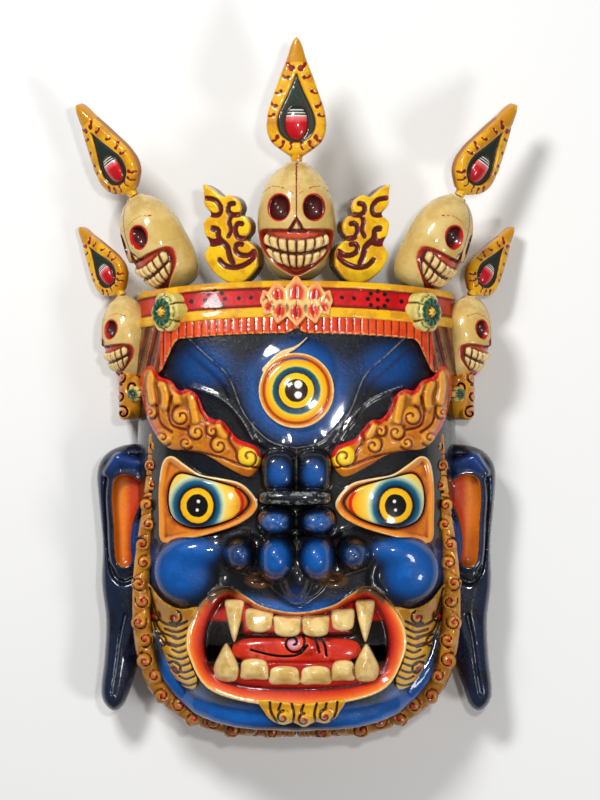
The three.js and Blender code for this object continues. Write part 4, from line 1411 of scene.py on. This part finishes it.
def ear_mesh():
    width, height = EAR_SIZE
    ring = smooth_line(scaled(EAR, EAR_SIZE), 80, True)
    hollow = smooth_line(scaled(CONCHA, EAR_SIZE), 50, True)
    groove = smooth_line(scaled(LOBE_GROOVE, EAR_SIZE), 14)
    fold = smooth_line(scaled(INNER_FOLD, EAR_SIZE), 12)
    crease = smooth_line(scaled(RIM_CREASE, EAR_SIZE), 30)
    clay = Clay((-12, -1, -1), (45, 229, 35), 0.95)

    def plate(x, y, z):
        edge = outline_distance(x, y, ring)
        top = 15 + 13 * np.sqrt(np.clip(-edge / 15, 0, 1))
        top = top - 3.2 * np.exp(-(line_distance(x, y, groove) / 1.7) ** 2)
        top = top - 5.0 * np.exp(-(line_distance(x, y, crease) / 2.2) ** 2)
        return soft_max(soft_max(z - top, edge, 5.0), 0.5 - z, 5.0)

    def bowl(x, y, z):
        return soft_max(outline_distance(x, y, hollow), 17 - z, 6.0)

    def paints(x, y, z):
        return {
            "hollow": outline_distance(x, y, hollow), "depth": z, "fold": line_distance(x, y, fold),
            "up": y / height, "groove": line_distance(x, y, groove), "across": x / width,
        }

    clay.join(plate)
    clay.join(tube([(x, y, FOLD_LEVEL) for x, y in np.vstack([hollow, hollow[:1]])], 6.5), 2.0)
    clay.carve(boxed(bowl, (-12, 100, 5), (40, 215, 40)), 3.0)
    clay.join(tube([(x, y, FOLD_LEVEL) for x, y in fold], 5.5), 2.0)
    clay.join(tube([(6, 212, 24), (22, 215, 26), (31, 204, 25)], [4, 6, 4]), 4.0)
    clay.keep(lambda x, y, z: z - (EAR_THICKNESS - 0.2))
    return clay.cast("ear", paints)


# Materials

def linear(colour):
    """A 0 to 255 screen colour as the renderer's linear values."""
    shares = [c / 255 for c in colour]
    return tuple(c / 12.92 if c <= 0.04045 else ((c + 0.055) / 1.055) ** 2.4 for c in shares) + (1.0,)


# Noise scales, from wide patches to specks
PATCHES, GLOSS, GAPS, STAINS, EDGE_BREAKS, STROKES, SHAKE, SPECKS = 55, 90, 120, 140, 260, 300, 420, 900
COAT_ROUGHNESS = 0.07
SHINE = 0.18
STROKE_HEIGHT = 0.0012


class Paint:
    """A painted and varnished surface, built up in layers."""

    def __init__(self, name, colour, shade, wobble=0.5):
        self.material = bpy.data.materials.new(name)
        self.material.use_nodes = True
        self.tree = self.material.node_tree
        self.tree.nodes.clear()
        self.wobble = wobble
        self.place = self.node("ShaderNodeTexCoord").outputs["Object"]
        self.fine = self.noise(SPECKS, 4)
        self.blotch = self.noise(PATCHES, 5)
        self.colour = self.mix(self.band(self.blotch, 0.42, 0.62), colour, shade)

    def node(self, kind, **inputs):
        made = self.tree.nodes.new(kind)
        for key, value in inputs.items():
            self.feed(made.inputs[key.replace("_", " ")], value)
        return made

    def feed(self, socket, value):
        if isinstance(value, bpy.types.NodeSocket):
            self.tree.links.new(value, socket)
        else:
            socket.default_value = value

    def noise(self, scale, detail):
        made = self.node("ShaderNodeTexNoise", Vector=self.place, Scale=scale, Detail=detail, Roughness=0.6)
        return made.outputs["Fac"]

    def maths(self, operation, a, b):
        made = self.tree.nodes.new("ShaderNodeMath")
        made.operation = operation
        self.feed(made.inputs[0], a)
        self.feed(made.inputs[1], b)
        return made.outputs[0]

    def value(self, name, wobble=None):
        """A distance held on the points, moved a little as by a brush."""
        made = self.tree.nodes.new("ShaderNodeAttribute")
        made.attribute_name = name
        shake = self.wobble if wobble is None else wobble
        if not shake:
            return made.outputs["Fac"]
        offset = self.maths("SUBTRACT", self.noise(SHAKE, 2), 0.5)
        return self.maths("ADD", made.outputs["Fac"], self.both(offset, shake * 2))

    def band(self, value, low, high):
        """0 at low and 1 at high."""
        made = self.tree.nodes.new("ShaderNodeMapRange")
        made.interpolation_type = "SMOOTHSTEP"
        self.feed(made.inputs["Value"], value)
        made.inputs["From Min"].default_value = min(low, high)
        made.inputs["From Max"].default_value = max(low, high)
        made.inputs["To Min"].default_value = 0.0 if low < high else 1.0
        made.inputs["To Max"].default_value = 1.0 if low < high else 0.0
        return made.outputs["Result"]

    def inside(self, name, edge=0.0, soft=0.35, wobble=None):
        return self.band(self.value(name, wobble), edge + soft, edge - soft)

    def ramp(self, value, stops):
        made = self.tree.nodes.new("ShaderNodeValToRGB")
        low, high = stops[0][0], stops[-1][0]
        self.feed(made.inputs["Fac"], self.band_plain(value, low, high))
        elements = made.color_ramp.elements
        while len(elements) < len(stops):
            elements.new(0.5)
        for element, (at, colour) in zip(elements, stops):
            element.position = (at - low) / (high - low)
            element.color = linear(colour)
        return made.outputs["Color"]

    def band_plain(self, value, low, high):
        made = self.tree.nodes.new("ShaderNodeMapRange")
        self.feed(made.inputs["Value"], value)
        made.inputs["From Min"].default_value = low
        made.inputs["From Max"].default_value = high
        return made.outputs["Result"]

    def both(self, a, b):
        return self.maths("MULTIPLY", a, b)

    def mix(self, share, a, b):
        made = self.tree.nodes.new("ShaderNodeMix")
        made.data_type = "RGBA"
        self.feed(made.inputs[0], share)
        for socket, value in ((made.inputs[6], a), (made.inputs[7], b)):
            self.feed(socket, value if isinstance(value, bpy.types.NodeSocket) else linear(value))
        return made.outputs[2]

    def layer(self, share, colour):
        self.colour = self.mix(share, self.colour, colour)

    def weather_and_edge_glint(self, grime, dirt, wear_and_glint, worn_and_glinting, sharp, spare):
        """Dirt in the grooves and in stains, and on the sharp edges a lighter colour that is partly rubbed
        paint and partly a painted highlight.
        """
        crest = self.value("crest", 0)
        in_groove = self.both(self.band(crest, -0.02, -0.42), grime)
        self.layer(in_groove, dirt)
        self.layer(self.both(self.band(self.noise(STAINS, 6), 0.56, 0.72), 0.22 * grime), dirt)
        # Breaks in the lighter edge colour, which is partly rubbed paint and partly a painted highlight
        edge_breaks = self.band(self.noise(EDGE_BREAKS, 5), 0.42, 0.6)
        on_edge = self.both(self.band(crest, sharp, sharp * 1.8), edge_breaks)
        if spare:
            on_edge = self.both(on_edge, spare)
        self.layer(self.both(on_edge, wear_and_glint), worn_and_glinting)
        return in_groove

    # The colour given for the sharp edges is partly rubbed paint and partly a painted highlight
    def finish(self, roughness, grime, wear_and_glint, worn_and_glinting, coat, bump, dirt=(22, 14, 8), sharp=0.5, spare=None):
        speckle = self.band(self.fine, 0.45, 0.7)
        in_groove = self.weather_and_edge_glint(grime, dirt, wear_and_glint, worn_and_glinting, sharp, spare)
        gloss = self.both(self.band_plain(self.noise(GLOSS, 4), 0.2, 0.8), 0.22)
        rough = self.maths("ADD", gloss, roughness - 0.08)
        rough = self.maths("ADD", rough, self.both(in_groove, 0.25))
        strokes = self.maths("ADD", self.noise(STROKES, 3), self.both(speckle, 0.25))
        bumped = self.node("ShaderNodeBump", Strength=bump, Distance=STROKE_HEIGHT, Height=strokes)
        shader = self.node("ShaderNodeBsdfPrincipled", Base_Color=self.colour, Roughness=rough)
        self.feed(shader.inputs["Normal"], bumped.outputs["Normal"])
        self.feed(shader.inputs["Coat Weight"], coat)
        self.feed(shader.inputs["Coat Roughness"], COAT_ROUGHNESS)
        self.feed(shader.inputs["Specular IOR Level"], SHINE)
        output = self.node("ShaderNodeOutputMaterial")
        self.tree.links.new(shader.outputs["BSDF"], output.inputs["Surface"])
        return self.material


BLACK = (9, 10, 13)
NAVY = (8, 25, 54)
BLUE = (8, 80, 156)
GOLD = (232, 172, 18)
YELLOW = (248, 206, 30)
ORANGE_GOLD = (196, 112, 20)
ORANGE = (236, 108, 22)
RED = (204, 26, 20)
CREAM = (236, 206, 150)
BONE = (218, 190, 122)
IVORY = (236, 204, 134)
GREEN = (8, 78, 50)
WHITE = (240, 238, 230)
WOOD = (120, 84, 52)


LIP_COLOURS = [
    (0.0, CREAM), (0.1, (240, 196, 120)), (0.22, (240, 128, 40)), (0.5, (222, 78, 26)),
    (0.8, (190, 30, 18)), (1.0, (120, 16, 14)),
]


def face_paint():
    p = Paint("face_lacquer", BLACK, (13, 18, 28))
    p.layer(p.band(p.value("blue", 0.03), 0.02, 0.55), NAVY)
    p.layer(p.band(p.value("blue", 0.05), 0.25, 0.9), BLUE)
    # The brightest blue, in patches where the blue is strongest on the swells: a painted highlight
    p.layer(p.both(p.band(p.value("blue", 0.04), 0.85, 1.0), p.band(p.blotch, 0.4, 0.65)), (14, 96, 182))
    # Thin broken grey lines along the forehead ridge, the nose wing and the middle of the nose: painted
    # highlights
    line = p.both(p.inside("crease", 0.5, 0.35, 0.3), p.band(p.noise(GAPS, 5), 0.36, 0.5))
    p.layer(p.both(line, 0.8), (150, 150, 138))
    p.layer(p.inside("nostril", 1.0, 0.2, 0.05), (96, 58, 22))
    p.layer(p.inside("lip", 0.2, 0.3, 0.2), p.ramp(p.value("lip_share", 0.03), LIP_COLOURS))
    p.layer(p.inside("mouth", -0.8, 0.5), (176, 26, 18))
    # Painted shade: near-black in the mouth above the slot and towards its ends
    p.layer(p.both(p.inside("mouth", -1.0, 0.8), p.inside("mouth_shade", 0.5, 2.0)), (14, 7, 7))
    p.layer(p.inside("wall", 0.0, 5.0, 1.0), (150, 92, 18))
    p.layer(p.inside("inside", 0.0, 1.5, 1.0), WOOD)
    # The grey on the sharp edges, kept off the lips, is partly rubbed paint and partly a painted highlight
    clear_of_lips = p.band(p.value("lip"), 0.0, 3.0)
    return p.finish(0.26, 0.55, 0.75, (150, 154, 150), 0.65, 0.3, sharp=0.42, spare=clear_of_lips)


def teeth_paint():
    p = Paint("tooth_ivory", IVORY, (206, 168, 92))
    return p.finish(0.28, 0.8, 0.4, (250, 236, 190), 0.6, 0.15, (90, 30, 12))


def tongue_paint():
    p = Paint("tongue_red", (206, 46, 24), (180, 30, 18))
    p.layer(p.inside("curl", 12, 5), (226, 70, 34))
    p.layer(p.inside("curl", 5.0, 1.5), (214, 150, 170))
    p.layer(p.inside("ink", 0.9, 0.3), BLACK)
    return p.finish(0.25, 0.6, 0.2, (240, 150, 120), 0.7, 0.15)


IRIS_COLOURS = [
    (0.0, (12, 9, 8)), (9.4, (14, 10, 8)), (9.9, (250, 196, 20)), (14.2, (246, 178, 16)),
    (14.9, (8, 10, 14)), (16.2, (6, 24, 46)), (20.5, (14, 100, 134)), (24.5, (214, 222, 170)),
    (27, (248, 206, 80)), (36, (246, 176, 24)), (44, (228, 112, 20)), (52, (200, 70, 16)),
]


def eye_paint():
    p = Paint("eye_colours", (226, 126, 30), (196, 92, 20))
    # Painted light and shade: the rim is lighter towards its raised outer edge and darker brown down by the
    # ball
    p.layer(p.band(p.value("rim"), -6, -1.5), (236, 150, 50))
    p.layer(p.inside("ball", 2.2, 1.2), (150, 58, 14))
    p.layer(p.inside("ball", -0.4, 0.5, 0.2), p.ramp(p.value("pupil"), IRIS_COLOURS))
    p.layer(p.both(p.inside("arc", 1.5, 0.5), p.inside("ball", -1, 0.5)), (206, 30, 12))
    # White dots on the pupil: painted reflections
    p.layer(p.inside("spots", 0.0, 0.3, 0.1), WHITE)
    p.layer(p.both(p.band(p.value("rim"), -2.0, -1.2), p.band(p.value("upper"), 4.0, 8.0)), CREAM)
    return p.finish(0.2, 0.6, 0.35, (250, 220, 160), 0.85, 0.12, (60, 26, 10))


RING_COLOURS = [
    (0.0, (52, 34, 30)), (9.4, (58, 36, 30)), (9.9, (252, 208, 16)), (14.2, (246, 190, 16)),
    (14.8, (10, 14, 16)), (16.0, (8, 50, 84)), (19.3, (10, 84, 92)), (20.4, (206, 196, 90)),
    (21.4, (248, 190, 24)), (25.4, (244, 158, 18)), (26.6, (206, 84, 12)), (27.8, (196, 72, 10)),
    (28.6, (226, 128, 26)), (30.2, (240, 170, 70)), (30.9, CREAM),
]


def third_eye_paint():
    p = Paint("third_eye_colours", ORANGE_GOLD, ORANGE)
    p.layer(p.inside("reach", THIRD_EYE_RADIUS + 0.6, 0.4), p.ramp(p.value("reach"), RING_COLOURS))
    p.layer(p.both(p.inside("tail", 0.6, 0.4), p.band(p.value("reach"), 31.0, 32.0)), (232, 190, 120))
    # White dots on the pupil: painted reflections
    p.layer(p.inside("spots", 0.0, 0.6), WHITE)
    return p.finish(0.22, 0.5, 0.35, (250, 236, 200), 0.8, 0.12, (70, 30, 10))


def brow_paint():
    p = Paint("brow_gold", (208, 128, 24), (188, 98, 18))
    # Lighter gold on the knobs of the curls and lobes: a painted highlight
    p.layer(p.inside("core", 0.0, 1.6), (226, 150, 24))
    p.layer(p.both(p.inside("core", 3.0, 1.5), p.inside("inner", 50, 4)), YELLOW)
    p.layer(p.inside("seam", 0.7, 0.5), (146, 44, 12))
    p.layer(p.band(p.value("edge"), -4.2, -3.0), RED)
    return p.finish(0.28, 0.55, 0.35, (250, 196, 90), 0.65, 0.25, (52, 18, 6))


# Hair with painted strokes or carved seams: two golds, half width of a line and its colour
HAIR = {
    "ink": (GOLD, (222, 150, 20), 1.05, (16, 10, 7)),
    "seam": ((206, 138, 24), (176, 106, 20), 0.6, (160, 62, 14)),
}


def hair_paint(name, kind, darker_span):
    gold, shade, half_width, line = HAIR[kind]
    p = Paint(name, gold, shade)
    # Darker gold over a span of heights: at the top of the whiskers, under the cheeks, it is painted shade;
    # on the beard and tuft it is darker towards the bottom
    p.layer(p.both(p.band(p.value("low", 6), *darker_span), 0.8), (150, 92, 18))
    p.layer(p.inside(kind, half_width, 0.4), line)
    p.layer(p.inside("core", 0.0, 0.8), (190, 34, 14))
    return p.finish(0.28, 0.5, 0.3, (252, 214, 110), 0.9, 0.25, (80, 34, 8))


def band_paint():
    p = Paint("band_red", (206, 20, 22), (176, 14, 18))
    top_rim = p.inside("drop", BAND_TOP_RIM + 0.6, 0.4)
    low_rim = p.band(p.value("drop"), LOW_RIM_DROP - 0.9, LOW_RIM_DROP)
    gold = p.mix(p.band(p.blotch, 0.4, 0.62), (236, 178, 16), (206, 138, 22))
    p.layer(p.maths("MAXIMUM", top_rim, low_rim), gold)
    p.layer(p.inside("dot", 0.0, 0.3), (24, 16, 16))
    return p.finish(0.3, 0.7, 0.35, (252, 226, 130), 0.3, 0.2, (46, 18, 8))


def frill_paint():
    p = Paint("frill_orange", (222, 78, 18), (200, 52, 14))
    p.layer(p.band(p.value("pleat", 0.1), -0.72, -0.95), (150, 26, 12))
    p.layer(p.both(p.inside("tip", 1.2, 0.6), p.band(p.value("pleat", 0.2), -0.6, 0.2)), (244, 170, 80))
    p.layer(p.band(p.value("strap"), -2, 2), p.mix(p.band(p.blotch, 0.4, 0.6), (128, 52, 18), (86, 26, 14)))
    return p.finish(0.26, 0.75, 0.35, (250, 200, 120), 0.65, 0.25, (46, 14, 6))


def lotus_paint():
    p = Paint("lotus_petals", (222, 60, 22), (200, 36, 16))
    p.layer(p.band(p.value("inside", 0.05), -0.6, -0.15), (232, 196, 120))
    p.layer(p.band(p.value("along"), 3, 11), (236, 150, 84))
    p.layer(p.inside("vein", 0.0, 0.3), (120, 22, 14))
    return p.finish(0.26, 0.75, 0.35, (252, 226, 160), 0.65, 0.2, (60, 22, 8))


def rosette_paint():
    p = Paint("rosette_colours", (222, 206, 120), (196, 176, 84))
    p.layer(p.band(p.value("lobe", 0.05), 0.3, 0.12), (110, 96, 30))
    p.layer(p.inside("reach", 0.68, 0.03, 0.02), GREEN)
    p.layer(p.inside("reach", 0.29, 0.03, 0.02), (236, 180, 40))
    p.layer(p.inside("dots", 0.0, 0.25, 0.1), (20, 14, 8))
    return p.finish(0.26, 0.7, 0.4, (240, 226, 170), 0.7, 0.2)


def bone_paint():
    p = Paint("bone_cream", BONE, (196, 164, 96), 0.35)
    p.layer(p.both(p.band(p.value("height", 5), 92, 74), p.band(p.blotch, 0.3, 0.7)), (206, 172, 92))
    p.layer(p.inside("mouth", 0.2, 0.6), (176, 34, 20))
    p.layer(p.inside("mouth", -2.2, 1.0), (206, 74, 40))
    p.layer(p.both(p.inside("bite", 11.2, 0.8), p.inside("mouth", -1.0, 0.8)), (120, 18, 14))
    p.layer(p.both(p.inside("tooth", 0.15, 0.35), p.inside("mouth", 0.0, 0.5)), (234, 200, 132))
    p.layer(p.both(p.inside("bite", 0.9, 0.4), p.inside("mouth", -1.0, 0.8)), (44, 10, 8))
    p.layer(p.inside("socket", 1.0, 0.35), (190, 30, 22))
    p.layer(p.inside("socket", -0.2, 0.4), (74, 18, 22))
    p.layer(p.both(p.inside("nose", 0.6, 0.4), p.band(p.value("nose", 0.2), -3.8, -2.6)), (110, 20, 18))
    p.layer(p.inside("line", 0.45, 0.25), (170, 24, 16))
    p.layer(p.inside("crack", 0.6, 0.25, 0.3), (150, 20, 16))
    return p.finish(0.27, 0.7, 0.3, (250, 232, 184), 0.6, 0.2, (70, 32, 12))


GEM_COLOURS = [
    (20, (176, 10, 22)), (33, (200, 14, 26)), (38, (226, 120, 120)), (39, WHITE), (39.8, BLACK),
    (40.6, BLACK), (41.4, WHITE), (42.2, BLACK), (43, BLACK), (43.8, WHITE), (44.6, BLACK),
    (46.5, (10, 62, 50)),
]


def flame_paint():
    p = Paint("flame_gold", GOLD, (200, 132, 20))
    p.layer(p.band(p.value("height", 0.5), 3.0, -2.0), (158, 94, 20))
    p.layer(p.inside("comma", 0.2, 0.3), (140, 20, 16))
    p.layer(p.band(p.value("up", 0.0), 0.79, 0.8), (200, 136, 20))
    p.layer(p.inside("panel", 0.2, 0.4), (6, 46, 38))
    p.layer(p.both(p.inside("panel", -1.6, 0.8), p.band(p.value("panel"), -3.4, -2.4)), (16, 92, 74))
    p.layer(p.inside("gem", 0.2, 0.4), p.ramp(p.value("stripe", 0.4), GEM_COLOURS))
    return p.finish(0.24, 0.7, 0.35, (255, 226, 120), 0.75, 0.2, (50, 22, 8))


def scroll_paint():
    p = Paint("scroll_gold", (244, 196, 22), (222, 158, 20))
    p.layer(p.inside("hook", 0.2, 0.4), (110, 14, 20))
    p.layer(p.band(p.value("height", 0.6), 5.4, 3.4), (74, 32, 14))
    return p.finish(0.24, 0.6, 0.35, (255, 236, 140), 0.75, 0.2, (50, 22, 8))


def ear_paint():
    p = Paint("ear_lacquer", (15, 30, 58), (10, 16, 28))
    # Blue at the top of the ear on its highest parts: a painted sheen
    blue = p.both(p.band(p.value("up", 0.03), 0.86, 0.95), p.band(p.value("depth"), 22, 31))
    p.layer(blue, (14, 58, 124))
    orange = p.mix(p.band(p.value("across", 0.05), 0.24, 0.42), (214, 64, 14), (250, 140, 26))
    p.layer(p.inside("hollow", 0.6, 0.8), orange)
    # Blue along the top of the inner fold: a painted highlight
    p.layer(p.both(p.inside("fold", 6, 1.5), p.band(p.value("depth"), 22, 25)), (10, 56, 118))
    # A thin broken pale line along the lobe groove: a painted highlight
    line = p.both(p.inside("groove", 0.5, 0.3, 0.2), p.band(p.noise(GAPS, 5), 0.36, 0.5))
    p.layer(line, (140, 148, 158))
    # The grey on the sharp edges is partly rubbed paint and partly a painted highlight
    return p.finish(0.24, 0.5, 0.35, (110, 118, 126), 1.0, 0.3, sharp=0.6)


# Assembly

def build_mask():
    piece("face", face_mesh(), "mask", face_paint())
    piece("teeth", teeth_mesh(), "mask", teeth_paint())
    piece("tongue", tongue_mesh(), "mask", tongue_paint())
    both_sides("eye", eye_mesh(), "mask", eye_paint())
    piece("third_eye", third_eye_mesh(), "mask", third_eye_paint())
    both_sides("brow", brow_mesh(), "mask", brow_paint())
    # The whiskers are darker at the top: painted shade under the cheeks
    whisker = hair_paint("whisker_gold", "ink", (118, 84))
    both_sides("whiskers", whisker_mesh(), "mask", whisker)
    beard = hair_paint("beard_gold", "seam", (40, 170))
    both_sides("beard", beard_mesh(), "mask", beard)
    tuft = hair_paint("tuft_gold", "ink", (178, 190))
    piece("chin_tuft", tuft_mesh(), "mask", tuft)
    piece("crown_band", band_mesh(), "mask", band_paint())
    piece("frill", frill_mesh(), "mask", frill_paint())
    piece("lotus", lotus_mesh(), "mask", lotus_paint())
    rosette = rosette_paint()
    for name, (radius, place, turn) in ROSETTES.items():
        matrix = Matrix.Translation(place) @ Matrix.Rotation(turn, 4, "Y")
        both_sides(name, rosette_mesh(radius), "mask", rosette, matrix)
    both_sides("lappet", lappet_mesh(), "mask", beard)


def build_crown():
    skull, flame = skull_mesh(), flame_mesh()
    bone, gold = bone_paint(), flame_paint()
    top = SKULLS["centre"]
    piece("skull_top", skull, "skull_centre", bone, skull_place(top))
    piece("flame_top", flame, "flame_centre", gold, flame_place(top))
    for row in ("upper", "lower"):
        skull_at, flame_at = skull_place(SKULLS[row]), flame_place(SKULLS[row])
        both_sides(f"skull_{row}_look", skull, f"skull_SIDE_{row}", bone, skull_at)
        both_sides(f"flame_{row}_look", flame, f"flame_SIDE_{row}", gold, flame_at)
    both_sides("scroll_wing", scroll_mesh(), "scroll_SIDE", scroll_paint(), SCROLL_PLACE)
    ear_at = Matrix.Translation(EAR_ORIGIN)
    both_sides("long_ear", ear_mesh(), "ear_SIDE", ear_paint(), ear_at)


# Studio

CAMERA_HEIGHT = 3.2
FRAME_HEIGHT = 0.692
CAMERA_AIM = (0.003, -0.010)
SENSOR = 36.0
FLOOR_SIZE = 8
FLOOR_COLOUR = (0.86, 0.86, 0.85, 1)
SKY_STRENGTH = 0.16
# Lamps: name, place, lit area and power
LAMPS = [
    ("key", (-0.8, 1.2, 1.7), (0.6, 0.35), 36),
    ("fill", (1.2, -0.7, 1.6), (0.4, 0.4), 12),
    ("flash", (0.25, 0.2, 2.1), (0.12, 0.12), 9),
]


def floor():
    bpy.ops.mesh.primitive_plane_add(size=FLOOR_SIZE, location=(0, 0, 0))
    ground = bpy.context.object
    ground.name = "floor"
    material = bpy.data.materials.new("floor_pale")
    material.use_nodes = True
    shader = material.node_tree.nodes["Principled BSDF"]
    shader.inputs["Base Color"].default_value = FLOOR_COLOUR
    shader.inputs["Roughness"].default_value = 0.9
    ground.data.materials.append(material)


def lamp(name, place, size, power):
    light = bpy.data.lights.new(name, "AREA")
    light.shape = "RECTANGLE"
    light.size, light.size_y = size
    light.energy = power
    made = bpy.data.objects.new(name, light)
    made.location = place
    made.rotation_euler = (-Vector(place)).to_track_quat("-Z", "Y").to_euler()
    bpy.context.scene.collection.objects.link(made)


def sky():
    world = bpy.data.worlds.new("studio")
    world.use_nodes = True
    background = world.node_tree.nodes["Background"]
    background.inputs["Color"].default_value = (1, 1, 1, 1)
    background.inputs["Strength"].default_value = SKY_STRENGTH
    bpy.context.scene.world = world


def camera():
    view = bpy.data.cameras.new("view")
    view.sensor_fit = "VERTICAL"
    view.sensor_height = SENSOR
    view.lens = SENSOR * CAMERA_HEIGHT / FRAME_HEIGHT
    made = bpy.data.objects.new("view", view)
    made.location = (*CAMERA_AIM, CAMERA_HEIGHT)
    bpy.context.scene.collection.objects.link(made)
    bpy.context.scene.camera = made


def studio():
    floor()
    for values in LAMPS:
        lamp(*values)
    sky()
    camera()
    bpy.context.scene.view_settings.view_transform = "Standard"


build_mask()
build_crown()
studio()
